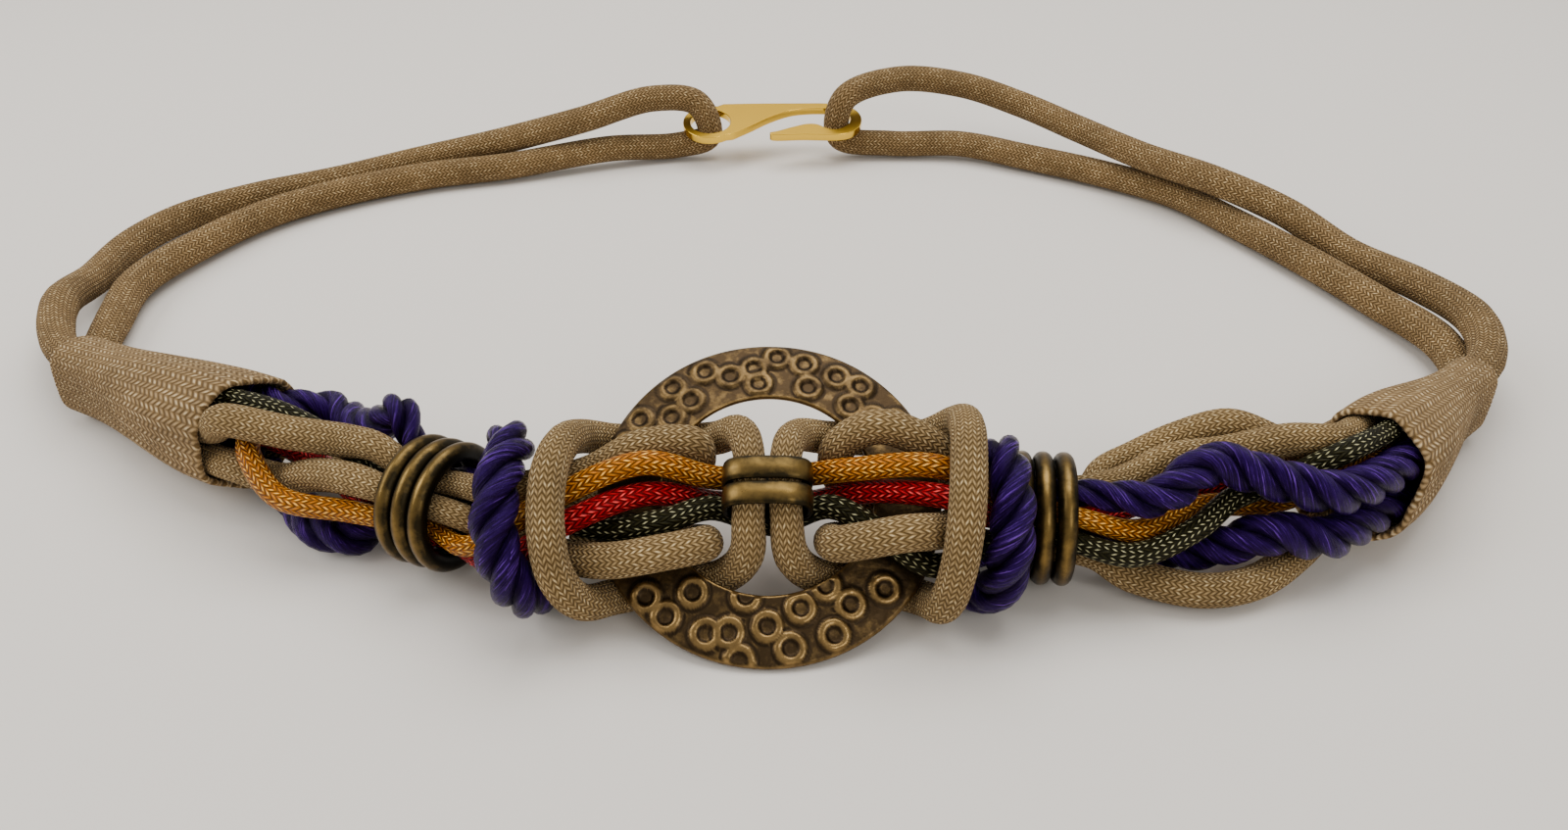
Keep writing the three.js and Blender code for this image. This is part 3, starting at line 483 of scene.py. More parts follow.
@dataclass(frozen=True)
class BraidFinish:
    """Braided, knitted or woven yarn: columns of slanted stitches, with painted shade between them.

    A machine lays the stitches as even chevrons along the piece. Each stitch of polyester
    shines, while cotton scatters the light and stays matt. Some stitches carry a painted
    highlight on their crests.
    """

    name: str
    colour: str
    shade: str  # painted shade, deep between the stitches
    crest_highlight: str  # painted highlight on the crests of the lightest stitches, and the tint of the real shine
    highlight_share: float  # of all stitches, that get the painted highlight
    columns: int  # round the piece
    pitch: float  # mm along the piece for one stitch
    lean: float  # stitches that a column's middle runs ahead of its edge
    relief: float  # mm
    roughness: float
    sheen: float = 0.0
    gloss: float = 0.1
    crest: float = 0.6  # share of a stitch's height from which its painted highlight shows
    stitch_rise: tuple[float, float] = (0.02, 0.4)  # shares of a stitch's half where it rises
    column_rise: tuple[float, float] = (-0.06, 0.2)  # shares of a column where it rises
    column_low: float = 0.25  # share of the height that is left where two columns meet
    stain: float = 11.11  # mm, size of the soft darker and lighter places
    stain_noise: tuple[float, float] = (0.3, 0.7)
    stain_tone: tuple[float, float] = (0.82, 1.12)  # brightness of the darkest and the lightest
    stitch_tone: tuple[float, float] = (0.86, 1.08)  # the same, from stitch to stitch
    # A fibre is about 0.02 mm thick, too fine to show, so fibres are drawn as coarse as this, mm
    fibre: float = 0.4
    fibre_relief: float = 0.25  # share of a stitch's height

    def material(self) -> bpy.types.Material:
        """Builds the yarn's material on the map named surface.

        Returns:
            The new material.
        """
        made = new_material(self.name)
        node = partial(add_node, made.node_tree)
        surface = node("ShaderNodeUVMap", uv_map="surface")
        parts = node("ShaderNodeSeparateXYZ", {0: surface})
        column = node("ShaderNodeMath", {0: parts, 1: self.columns}, operation="MULTIPLY")
        zigzag = node("ShaderNodeMath", {0: column, 1: 0.5}, operation="PINGPONG")
        lead = node("ShaderNodeMath", {0: zigzag, 1: 2 * self.lean}, operation="MULTIPLY")
        phase = node(
            "ShaderNodeMath",
            {0: parts.outputs[1], 1: 1 / self.pitch, 2: lead},
            operation="MULTIPLY_ADD",
        )
        stitch = node("ShaderNodeMath", {0: phase, 1: 0.5}, operation="PINGPONG")
        start, full = self.stitch_rise
        ridge = node(
            "ShaderNodeMapRange", {0: stitch, 1: start, 2: full}, interpolation_type="SMOOTHSTEP"
        )
        arm = node("ShaderNodeMath", {0: column, 1: 0.25}, operation="PINGPONG")
        start, full = self.column_rise
        tuck = node(
            "ShaderNodeMapRange",
            {0: arm, 1: start, 2: full, 3: self.column_low},
            interpolation_type="SMOOTHSTEP",
        )
        raised = node("ShaderNodeMath", {0: ridge, 1: tuck}, operation="MULTIPLY")
        halves = node("ShaderNodeMath", {0: column, 1: 2.0}, operation="MULTIPLY")
        cell = node("ShaderNodeCombineXYZ", {0: halves, 1: phase})
        whole = node("ShaderNodeVectorMath", {0: cell}, operation="FLOOR")
        chance = node("ShaderNodeTexWhiteNoise", {0: whole}, noise_dimensions="2D")
        crest = node(
            "ShaderNodeMapRange",
            {0: raised, 1: self.crest, 2: 1.0},
            interpolation_type="SMOOTHSTEP",
        )
        # Painted highlight: a pale colour on the crests of the picked stitches
        picked = node(
            "ShaderNodeMath", {0: chance, 1: 1.0 - self.highlight_share}, operation="GREATER_THAN"
        )
        highlight_mask = node("ShaderNodeMath", {0: picked, 1: crest}, operation="MULTIPLY")
        yarn = node(
            "ShaderNodeMix",
            {0: highlight_mask, 6: linear(self.colour), 7: linear(self.crest_highlight)},
            data_type="RGBA",
        ).outputs[2]
        # Painted shade: the yarn darkens to the shade colour down between the stitches
        depth = node(
            "ShaderNodeMix", {0: raised, 6: linear(self.shade), 7: yarn}, data_type="RGBA"
        ).outputs[2]
        place = node("ShaderNodeTexCoord").outputs["Object"]
        stains = node(
            "ShaderNodeTexNoise", {"Vector": place, "Scale": 1 / (self.stain * MM), "Detail": 3.0}
        )
        (start, full), (dark, light) = self.stain_noise, self.stain_tone
        swing = node("ShaderNodeMapRange", {0: stains, 1: start, 2: full, 3: dark, 4: light})
        dark, light = self.stitch_tone
        wear = node("ShaderNodeMapRange", {0: chance, 3: dark, 4: light})
        bright = node("ShaderNodeMath", {0: swing, 1: wear}, operation="MULTIPLY")
        shown = node("ShaderNodeHueSaturation", {"Color": depth, "Value": bright})
        fibres = node(
            "ShaderNodeTexNoise", {"Vector": place, "Scale": 1 / (self.fibre * MM), "Detail": 2.0}
        )
        height = node(
            "ShaderNodeMath", {0: fibres, 1: self.fibre_relief, 2: raised}, operation="MULTIPLY_ADD"
        )
        bump = node(
            "ShaderNodeBump", {"Height": height, "Distance": self.relief * MM, "Strength": 1.0}
        )
        shader = node(
            "ShaderNodeBsdfPrincipled",
            {
                "Base Color": shown,
                "Roughness": self.roughness,
                "Specular IOR Level": self.gloss,
                "Specular Tint": linear(self.crest_highlight),
                "Sheen Weight": self.sheen,
                "Normal": bump,
            },
        )
        node("ShaderNodeOutputMaterial", {0: shader})
        return made


@dataclass(frozen=True)
class SatinPlyFinish:
    """Laid rayon rope: shiny fibres that run slantwise round each ply, with darker runs.

    The attribute named outward is 1 at the rope's outer face and less between its plies,
    where next to no light comes in.
    """

    name: str
    colour: str
    shade: str
    glint: str
    # A rayon fibre is about 0.02 mm thick, too fine to show: this, in mm, is a bundle of them
    fibre: float
    roughness: float
    gloss: float = 0.4
    relief: float = 0.35  # mm
    girth: float = 13.0  # mm round one ply
    slant: float = 0.8  # mm round the ply for each mm along it
    stretch: float = 0.16  # how much of the pattern passes in a mm along the fibres
    dark_runs: tuple[float, float] = (0.42, 0.58)  # noise where a run is dark, and where it isn't
    lit_runs: tuple[float, float] = (0.57, 0.68)  # noise where a glint starts, and is full
    lit_most: float = 0.7
    seam: tuple[float, float] = (0.76, 0.98)  # outward where the painted shade in a seam is darkest, and where it ends
    seam_light: float = 0.08

    def material(self) -> bpy.types.Material:
        """Builds the rope's material, with its fibres along each ply.

        Returns:
            The new material.
        """
        made = new_material(self.name)
        node = partial(add_node, made.node_tree)
        surface = node("ShaderNodeUVMap", uv_map="surface")
        parts = node("ShaderNodeSeparateXYZ", {0: surface})
        spread = node(
            "ShaderNodeMath", {0: parts, 1: self.girth / self.fibre}, operation="MULTIPLY"
        )
        across = node(
            "ShaderNodeMath",
            {0: parts.outputs[1], 1: -self.slant / self.fibre, 2: spread},
            operation="MULTIPLY_ADD",
        )
        length = node(
            "ShaderNodeMath", {0: parts.outputs[1], 1: self.stretch}, operation="MULTIPLY"
        )
        stretched = node("ShaderNodeCombineXYZ", {0: across, 1: length})
        runs = node(
            "ShaderNodeTexNoise",
            {"Vector": stretched, "Scale": 1.0, "Detail": 5.0, "Roughness": 0.7},
        )
        start, full = self.dark_runs
        open_runs = node("ShaderNodeMapRange", {0: runs, 1: start, 2: full})
        body = node(
            "ShaderNodeMix",
            {0: open_runs, 6: linear(self.shade), 7: linear(self.colour)},
            data_type="RGBA",
        ).outputs[2]
        start, full = self.lit_runs
        glints = node("ShaderNodeMapRange", {0: runs, 1: start, 2: full, 4: self.lit_most})
        lit = node(
            "ShaderNodeMix", {0: glints, 6: body, 7: linear(self.glint)}, data_type="RGBA"
        ).outputs[2]
        # Painted shade: the colour darkens between the plies
        outward = node("ShaderNodeAttribute", attribute_name="outward").outputs["Fac"]
        start, full = self.seam
        open_share = node(
            "ShaderNodeMapRange",
            {0: outward, 1: start, 2: full, 3: self.seam_light, 4: 1.0},
            interpolation_type="SMOOTHSTEP",
        )
        shown = node("ShaderNodeHueSaturation", {"Color": lit, "Value": open_share})
        bump = node(
            "ShaderNodeBump", {"Height": runs, "Distance": self.relief * MM, "Strength": 1.0}
        )
        shader = node(
            "ShaderNodeBsdfPrincipled",
            {
                "Base Color": shown,
                "Roughness": self.roughness,
                "Specular IOR Level": self.gloss,
                "Specular Tint": linear(self.glint),
                "Normal": bump,
            },
        )
        node("ShaderNodeOutputMaterial", {0: shader})
        return made


@dataclass(frozen=True)
class PatinaFinish:
    """Antique brass: brass darkened with a brown patina and rubbed back on its high places.

    The attribute named rubbed is 1 where the patina is rubbed off and below 0 in creases.
    It also carries painted light: more rubbed on the ring's lower half, a painted highlight
    on the wires' crests, and painted shade below 0 on their inner sides.
    """

    name: str
    patina: str
    brass: str
    # The dark of the patina in creases, also used as painted shade on the wires' inner sides
    crease: str
    hammer: float  # mm of unevenness
    grain: float  # mm, size of the mottling
    dent: float = 2.38  # mm, size of the unevenness
    mottle_noise: tuple[float, float] = (0.35, 0.7)
    mottle: tuple[float, float] = (-0.15, 0.3)  # added to rubbed, from the darkest to the barest
    crease_range: tuple[float, float] = (-0.05, -0.8)  # rubbed where a crease starts, and is full
    patina_roughness: float = 0.44
    brass_roughness: float = 0.2
    metallic: float = 0.9  # the patina dulls the metal a little

    def material(self) -> bpy.types.Material:
        """Builds the metal's material.

        Returns:
            The new material.
        """
        made = new_material(self.name)
        node = partial(add_node, made.node_tree)
        place = node("ShaderNodeTexCoord").outputs["Object"]
        rubbed = node("ShaderNodeAttribute", attribute_name="rubbed").outputs["Fac"]
        noise = node(
            "ShaderNodeTexNoise",
            {"Vector": place, "Scale": 1 / (self.grain * MM), "Detail": 5.0, "Roughness": 0.65},
        )
        (start, full), (dark, light) = self.mottle_noise, self.mottle
        patch = node("ShaderNodeMapRange", {0: noise, 1: start, 2: full, 3: dark, 4: light})
        bare = node("ShaderNodeMath", {0: rubbed, 1: patch}, operation="ADD", use_clamp=True)
        body = node(
            "ShaderNodeMix",
            {0: bare, 6: linear(self.patina), 7: linear(self.brass)},
            data_type="RGBA",
        ).outputs[2]
        start, full = self.crease_range
        deep = node("ShaderNodeMapRange", {0: rubbed, 1: start, 2: full})
        shown = node(
            "ShaderNodeMix", {0: deep, 6: body, 7: linear(self.crease)}, data_type="RGBA"
        ).outputs[2]
        rough = node(
            "ShaderNodeMapRange", {0: bare, 3: self.patina_roughness, 4: self.brass_roughness}
        )
        uneven = node(
            "ShaderNodeTexNoise", {"Vector": place, "Scale": 1 / (self.dent * MM), "Detail": 3.0}
        )
        bump = node(
            "ShaderNodeBump", {"Height": uneven, "Distance": self.hammer * MM, "Strength": 1.0}
        )
        shader = node(
            "ShaderNodeBsdfPrincipled",
            {"Base Color": shown, "Metallic": self.metallic, "Roughness": rough, "Normal": bump},
        )
        node("ShaderNodeOutputMaterial", {0: shader})
        return made


@dataclass(frozen=True)
class PlatedFinish:
    """Gold-coloured plating on a stamped plate, satin on its face or bright on its edges."""

    name: str
    colour: str
    roughness: float
    scratch: float  # mm
    # Polishing marks are under 0.05 mm wide, too fine to show, so they are drawn this wide, mm
    mark: float = 0.667
    spread: tuple[float, float] = (-0.06, 0.08)  # of the roughness, from mark to mark

    def material(self) -> bpy.types.Material:
        """Builds the plate's material.

        Returns:
            The new material.
        """
        made = new_material(self.name)
        node = partial(add_node, made.node_tree)
        place = node("ShaderNodeTexCoord").outputs["Object"]
        marks = node(
            "ShaderNodeTexNoise", {"Vector": place, "Scale": 1 / (self.mark * MM), "Detail": 3.0}
        )
        low, high = (self.roughness + change for change in self.spread)
        rough = node("ShaderNodeMapRange", {0: marks, 3: low, 4: high})
        bump = node(
            "ShaderNodeBump", {"Height": marks, "Distance": self.scratch * MM, "Strength": 0.6}
        )
        shader = node(
            "ShaderNodeBsdfPrincipled",
            {
                "Base Color": linear(self.colour),
                "Metallic": 1.0,
                "Roughness": rough,
                "Normal": bump,
            },
        )
        node("ShaderNodeOutputMaterial", {0: shader})
        return made


@dataclass(frozen=True)
class PaintFinish:
    """Flat paint, such as the floor has."""

    name: str
    colour: str
    roughness: float

    def material(self) -> bpy.types.Material:
        """Builds the paint's material.

        Returns:
            The new material.
        """
        made = new_material(self.name)
        node = partial(add_node, made.node_tree)
        shader = node(
            "ShaderNodeBsdfPrincipled",
            {"Base Color": linear(self.colour), "Roughness": self.roughness},
        )
        node("ShaderNodeOutputMaterial", {0: shader})
        return made


# Cotton cord, knitted by machine round a core: matt, with small stitches in even chevrons, a pale
# painted highlight on some of their crests
COTTON_TAN = BraidFinish(
    name="knitted cotton cord, tan",
    colour="ae9164",
    shade="5a4526",
    crest_highlight="c6ad80",
    highlight_share=0.3,
    columns=14,
    pitch=1.0,
    lean=0.8,
    relief=0.32,
    roughness=0.92,
    sheen=0.05,
)
# Thicker cotton rope, braided by machine: as matt, darker with use, its stitches a bit longer
COTTON_ROPE = replace(
    COTTON_TAN,
    name="braided cotton rope, tan",
    colour="a0835a",
    shade="4f3b1f",
    crest_highlight="bfa478",
    pitch=1.2,
    lean=0.95,
    relief=0.34,
    roughness=0.94,
)
# Cotton twill, woven in a herringbone: matt ribs that run along the sleeve, and no shine
TWILL_TAN = replace(
    COTTON_TAN,
    name="cotton herringbone twill, tan",
    colour="a48861",
    shade="5f492b",
    crest_highlight="bfa780",
    highlight_share=0.35,
    columns=30,
    pitch=1.35,
    lean=0.75,
    relief=0.34,
    roughness=0.95,
)
# Polyester filament, braided by machine: big stitches that each shine in their own colour, most
# with a painted highlight in a lighter tone on their crests
POLYESTER_ORANGE = BraidFinish(
    name="braided polyester cord, orange",
    colour="d07a12",
    shade="481c01",
    crest_highlight="ffbf55",
    highlight_share=0.7,
    columns=8,
    pitch=1.3,
    lean=1.0,
    relief=0.34,
    roughness=0.36,
    gloss=0.7,
    crest=0.72,
)
# The same braid, dyed red: its shine, and the painted highlight on its stitches, are a lighter red
POLYESTER_RED = replace(
    POLYESTER_ORANGE,
    name="braided polyester cord, red",
    colour="bd0a1c",
    shade="300104",
    crest_highlight="ff4a4a",
    highlight_share=0.6,
    gloss=0.6,
)
# The same braid in dark olive yarn: nearly black, with pale ticks of painted highlight on the
# crests of most stitches
POLYESTER_OLIVE = replace(
    POLYESTER_ORANGE,
    name="braided polyester cord, olive",
    colour="221f0c",
    shade="040301",
    crest_highlight="a7a27c",
    highlight_share=0.8,
    roughness=0.5,
    gloss=0.3,
    crest=0.86,
)
# Rayon filament, laid in three plies: silky, with bright violet glints along dark fibres
RAYON_PURPLE = SatinPlyFinish(
    name="laid rayon rope, purple",
    colour="250a4c",
    shade="06010f",
    glint="8a55d2",
    fibre=0.42,
    roughness=0.3,
)
# Cast brass, darkened with a patina and rubbed back: bright circles on a brown, uneven plate
BRASS_ANTIQUE = PatinaFinish(
    name="antique brass, patina rubbed back",
    patina="3a2c1a",
    brass="a3834f",
    crease="130c05",
    hammer=0.22,
    grain=2.6,
)
# Drawn brass wire, bent and given the same patina: smooth, dark, bright along its crest, where it
# is rubbed and carries a painted highlight, with painted shade on its inner side
BRASS_WIRE = PatinaFinish(
    name="antique brass wire, drawn and bent",
    patina="241d0d",
    brass="8b6f3a",
    crease="090703",
    hammer=0.05,
    grain=3.0,
)
# Stamped plate with gold plating, its face left satin: an even, soft yellow
GOLD_FACE = PlatedFinish(
    name="gold plate, satin face", colour="a88526", roughness=0.36, scratch=0.02
)
# The same plating on polished edges: mirror-like, and a lighter colour than the face as a painted
# highlight, so the edges catch bright lines of light
GOLD_EDGE = PlatedFinish(
    name="gold plate, bright edge", colour="e6bd45", roughness=0.12, scratch=0.008
)
# Flat wall paint, rolled on: pale and without any shine, so that only soft shadows show on it
FLOOR_PAINT = PaintFinish(name="matte pale floor paint", colour="d8d2ca", roughness=0.95)


@dataclass
class CordPiece:
    """One braided cord along its route."""

    node: str
    half_width: float
    slot: str
    closed: bool = False
    around: int = 20
    free: bool = False  # lies loose on the surface between its two ends

    def build(self, material: bpy.types.Material) -> bpy.types.Object:
        """Builds the cord.

        Args:
            material: its braid.

        Returns:
            The finished piece.
        """
        stations = Route(ROUTES[self.node], self.closed).stations()

        def place(i: int, j: int) -> Vector:
            """Gives a corner on the cord's round section."""
            angle = TURN * (j % self.around) / self.around
            return row_point(stations[i].at(angle, self.half_width * stations[i].share))

        def sheet(i: int, j: int) -> tuple[float, float]:
            """Gives the share round and the mm along."""
            return (j / self.around, stations[i].along)

        section = Section.LOOP if self.closed else Section.TUBE
        bm = carried_grid(len(stations) - 1, self.around, place, sheet, section)
        piece = finished(f"{self.node}_braid", bm, [material])
        stand_for(piece, self.node, self.slot)
        if self.free:
            self._declare(piece, [row_point(station.middle) for station in stations])
        return piece

    def _declare(self, piece: bpy.types.Object, path: Sequence[Vector]) -> None:
        """Logs the cord's length in mm.

        Args:
            piece: the finished cord.
            path: its middle line in metres, from its exit to its far end.
        """
        length = sum((after - before).length for before, after in zip(path, path[1:]))
        LOG.info("%s is %.0f mm long", piece.name, length / MM)
        tuple(path[0])
        [tuple(point) for point in path]


@dataclass
class PlyRope:
    """A rope of three plies laid round each other."""

    node: str
    half_width: float = 4.0
    plies: int = 3
    lay: float = 18.0  # mm along the rope for one turn of a ply
    ply_offset: float = 0.51  # from the rope's middle to a ply's, as a share of the half width
    ply_width: float = 0.5  # a ply's half width, as the same share
    around: int = 14
    slot: str = "purple_twist"

    def build(self, material: bpy.types.Material) -> bpy.types.Object:
        """Builds the rope's plies as one mesh.

        Args:
            material: the satin fibres.

        Returns:
            The finished piece.
        """
        stations = Route(ROUTES[self.node]).stations()
        joined = bmesh.new()
        joined.loops.layers.uv.new("surface")
        joined.verts.layers.float.new("outward")
        for ply in range(self.plies):
            rows = []
            for station in stations:
                width = self.half_width * station.share
                angle = TURN * (station.along / self.lay + ply / self.plies)
                middle = station.at(angle, self.ply_offset * width)
                rows.append((*middle, self.ply_width * width))
            self._add_ply(joined, rows, stations)
        piece = finished(f"{self.node}_plies", joined, [material])
        stand_for(piece, self.node, self.slot)
        return piece

    def _add_ply(
        self, joined: bmesh.types.BMesh, rows: Sequence[Row], spine: Sequence[Station]
    ) -> None:
        """Adds one ply to the rope's mesh, with its outward places marked.

        Args:
            joined: the rope's mesh so far.
            rows: the ply's middle and its half width in mm.
            spine: the rope's own stations, one for each row.
        """
        places = [Vector(row[:3]) for row in rows]
        stations = Route(rows).framed(places, [row[3] for row in rows])

        def place(i: int, j: int) -> Vector:
            """Gives a corner on the ply's round section."""
            angle = TURN * (j % self.around) / self.around
            return row_point(stations[i].at(angle, stations[i].share))

        def sheet(i: int, j: int) -> tuple[float, float]:
            """Gives the share round and the mm along."""
            return (j / self.around, stations[i].along)

        bm = carried_grid(len(stations) - 1, self.around, place, sheet, Section.TUBE)
        marks = {}
        for i, station in enumerate(spine):
            for j in range(self.around):
                spot = place(i, j)
                reach = (spot - row_point(station.middle)).length / MM
                marks[place_key(spot)] = reach / (self.half_width * station.share)
        mark_places(bm, "outward", marks)
        mesh = bpy.data.meshes.new("ply")
        bm.to_mesh(mesh)
        bm.free()
        joined.from_mesh(mesh)
        bpy.data.meshes.remove(mesh)


def metal_loop(
    name: str,
    node: str,
    counts: tuple[int, int],
    place: Place,
    marks: dict[PlaceKey, float],
    material: bpy.types.Material,
) -> bpy.types.Object:
    """Builds a closed loop of metal with its rubbed places, and its painted light and shade,
    marked.

    Args:
        name: the piece's name.
        node: the node that it stands for.
        counts: faces round the loop, and round its section.
        place: a corner's place.
        marks: how far each place is rubbed, painted light and shade included, complete once every
            corner has its place.
        material: its finish.

    Returns:
        The finished piece.
    """
    along, around = counts

    def sheet(i: int, j: int) -> tuple[float, float]:
        """Gives the share round the section and the share along."""
        return (j / around, i / along)

    bm = carried_grid(along, around, place, sheet, Section.LOOP)
    mark_places(bm, "rubbed", marks)
    piece = finished(name, bm, [material])
    stand_for(piece, node, "antique_brass")
    return piece


def leaned(flat: Vector) -> Vector:
    """Leans a point of the ring's flat design, in mm, and puts it in the row frame."""
    turned = Matrix.Rotation(math.radians(Medallion.lean), 3, "X") @ flat
    return row_point(turned + Vector((0, 0, Medallion.height)))


@dataclass
class Medallion:
    """A domed ring with raised circles, dimpled in the middle, scattered over its face."""

    outer: float = 29.0
    hole: float = 17.6
    plate: float = 1.2
    edge: float = 0.35  # radius of the rounded rims
    bevel: float = 0.55  # mm inside a rim, over which the relief fades in
    rise: float = 3.0
    lean: float = 30.0
    height: float = 14.5
    raise_by: float = 0.42
    sink_by: float = 0.12
    around: int = 520
    across: int = 38
    rim: int = 4
    back: int = 6
    # Slopes of one raised circle: mm from its middle where each starts and where it is full
    crest_outer: tuple[float, float] = (2.95, 2.2)
    crest_inner: tuple[float, float] = (0.95, 1.75)
    dimple: tuple[float, float] = (1.3, 0.85)
    ditch_inner: tuple[float, float] = (2.75, 2.95)
    ditch_outer: tuple[float, float] = (3.4, 3.05)
    lip_inner: tuple[float, float] = (0.85, 1.1)
    lip_outer: tuple[float, float] = (1.6, 1.3)
    spread: float = 3.6  # mm from its middle that a circle changes the plate
    # The circles' middles: mm from the ring's middle, and degrees
    circles: Sequence[tuple[float, float]] = (
        (26.3, -138), (26.4, -128), (20.9, -125), (25.6, -112.5), (24.3, -104.5), (22.6, -90),
        (26.2, -82), (20.4, -75), (23.1, -55), (26.0, -66), (24.9, -41), (25.8, 116), (22.0, 128),
        (21.8, 140), (23.2, 107), (24.0, 96.5), (20.6, 95), (26.3, 87), (25.5, 76), (20.9, 71),
        (25.2, 62), (25.9, 52), (21.4, 49), (22.9, 38), (25.9, 32), (26.2, 148), (25.9, 159),
        (26.2, 130), (25.2, -22), (28.2, -99), (18.2, -101), (18.6, -60),
    )

    def relief(self, x: float, y: float) -> tuple[float, float]:
        """Gives the raised circles' height at a point of the face.

        Args:
            x: mm to the right of the ring's middle.
            y: mm up from it.

        Returns:
            The height over the plate in mm, and how far the place is rubbed, more on the lower half
            as painted light.
        """
        height, rubbed, dimple = 0.0, 0.0, 0.0
        for distance, degrees in self.circles:
            turn = math.radians(degrees)
            away = math.hypot(x - distance * math.cos(turn), y - distance * math.sin(turn))
            if away > self.spread:
                continue
            crest = smooth_step(*self.crest_outer, away) * smooth_step(*self.crest_inner, away)
            height = max(height, crest)
            dimple = max(dimple, smooth_step(*self.dimple, away))
            # Painted light: the lower half of the ring, where more light falls, is drawn more
            # rubbed and brighter than the upper
            lower_half_light = 0.3 + 0.7 * smooth_step(12.0, -12.0, y)
            rubbed = max(rubbed, smooth_step(0.5, 1.0, crest) * 0.5 * lower_half_light)
            ditch = smooth_step(*self.ditch_inner, away) * smooth_step(*self.ditch_outer, away)
            lip = smooth_step(*self.lip_inner, away) * smooth_step(*self.lip_outer, away)
            if crest < 0.4 and rubbed <= 0:
                rubbed = min(rubbed, -0.55 * max(ditch, lip))
        return height * self.raise_by - self.sink_by * dimple, rubbed

    def _profile(self, j: int) -> tuple[float, float]:
        """Gives the ring's section, over its face, its outer rim, its back and its inner rim.

        Args:
            j: a step round the section.

        Returns:
            The distance from the ring's axis and the height over the plate's middle, in mm.
        """
        half = self.plate / 2
        low, high = self.hole + self.edge, self.outer - self.edge
        if j <= self.across:
            return low + (high - low) * j / self.across, half
        j -= self.across
        if j < self.rim:
            angle = math.pi * j / self.rim
            return high + self.edge * math.sin(angle), half * math.cos(angle)
        j -= self.rim
        if j <= self.back:
            return high - (high - low) * j / self.back, -half
        angle = math.pi * (j - self.back) / self.rim
        return low - self.edge * math.sin(angle), -half * math.cos(angle)

    def build(self, material: bpy.types.Material) -> bpy.types.Object:
        """Builds the ring.

        Args:
            material: its antique brass.

        Returns:
            The finished piece.
        """
        rows = self.across + self.back + 2 * self.rim
        marks: dict[PlaceKey, float] = {}

        def place(i: int, j: int) -> Vector:
            """Gives a corner of the ring's face, rim or back, and marks how far it is rubbed.

            Args:
                i: a step round the ring.
                j: a step round its section.

            Returns:
                The corner's place.
            """
            distance, lift = self._profile(j % rows)
            turn = TURN * (i % self.around) / self.around
            x, y = distance * math.cos(turn), distance * math.sin(turn)
            rubbed = 0.3
            if j % rows <= self.across:
                raised, rubbed = self.relief(x, y)
                low, high = self.hole + self.edge, self.outer - self.edge
                fade = smooth_step(low, low + self.bevel, distance)
                fade *= smooth_step(high, high - self.bevel, distance)
                lift += raised * fade
                if fade <= 0.3:
                    rubbed = max(rubbed, 0.55 if distance < 20 else 0.1)
            dome = self.rise * (1 - (distance / self.outer) ** 2)
            wave = 0.1 * math.sin(3 * turn + 0.6) + 0.05 * math.sin(7 * turn)
            uneven = wave * (distance - self.hole) / 11
            spot = leaned(Vector((x, y, dome + lift + uneven)))
            marks[place_key(spot)] = rubbed
            return spot

        counts = (self.around, rows)
        return metal_loop("medallion_ring", "medallion", counts, place, marks, material)


@dataclass
class OvalBand:
    """One of the two oval bands that clamp the cords together in the ring's hole."""

    node: str
    offset: float  # mm from the middle of the pair
    half_width: float = 6.75
    half_depth: float = 4.0
    wall: float = 0.6
    half_height: float = 1.95
    middle: tuple[float, float] = (-2.1, 8.95)
    squareness: float = 2 / 3  # 1 is an ellipse, less is squarer
    flatness: float = 0.6  # 1 is a round section, less is flatter
    around: int = 16
    along: int = 96

    def build(self, material: bpy.types.Material) -> bpy.types.Object:
        """Builds the band, with its rounded faces rubbed bright and given a painted highlight, and
        painted shade on its inner side.

        Args:
            material: its antique brass.

        Returns:
            The finished piece.
        """
        marks: dict[PlaceKey, float] = {}

        def place(i: int, j: int) -> Vector:
            """Gives a corner of the squared oval's section, and marks how far it is rubbed, with
            its painted highlight and shade.

            Args:
                i: a step round the oval.
                j: a step round its section.

            Returns:
                The corner's place.
            """
            turn = TURN * (i % self.along) / self.along
            angle = TURN * (j % self.around) / self.around
            out, tall = math.cos(angle), math.sin(angle)
            across = squared(math.cos(turn), self.squareness)
            deep = squared(math.sin(turn), self.squareness)
            flat = Vector(
                (
                    (self.half_width + self.wall * out) * across,
                    self.middle[0] + self.offset + self.half_height * squared(tall, self.flatness),
                    self.middle[1] - (self.half_depth + self.wall * out) * deep,
                )
            )
            spot = leaned(flat)
            # Painted shade on the inner side, which faces the cords; along the outer crest, rubbing
            # and a painted highlight
            dark = smooth_step(0.4, -0.1, out)
            marks[place_key(spot)] = 0.5 * smooth_step(0.85, 1.0, out) - 0.7 * dark
            return spot

        counts = (self.along, self.around)
        return metal_loop(f"{self.node}_metal", self.node, counts, place, marks, material)


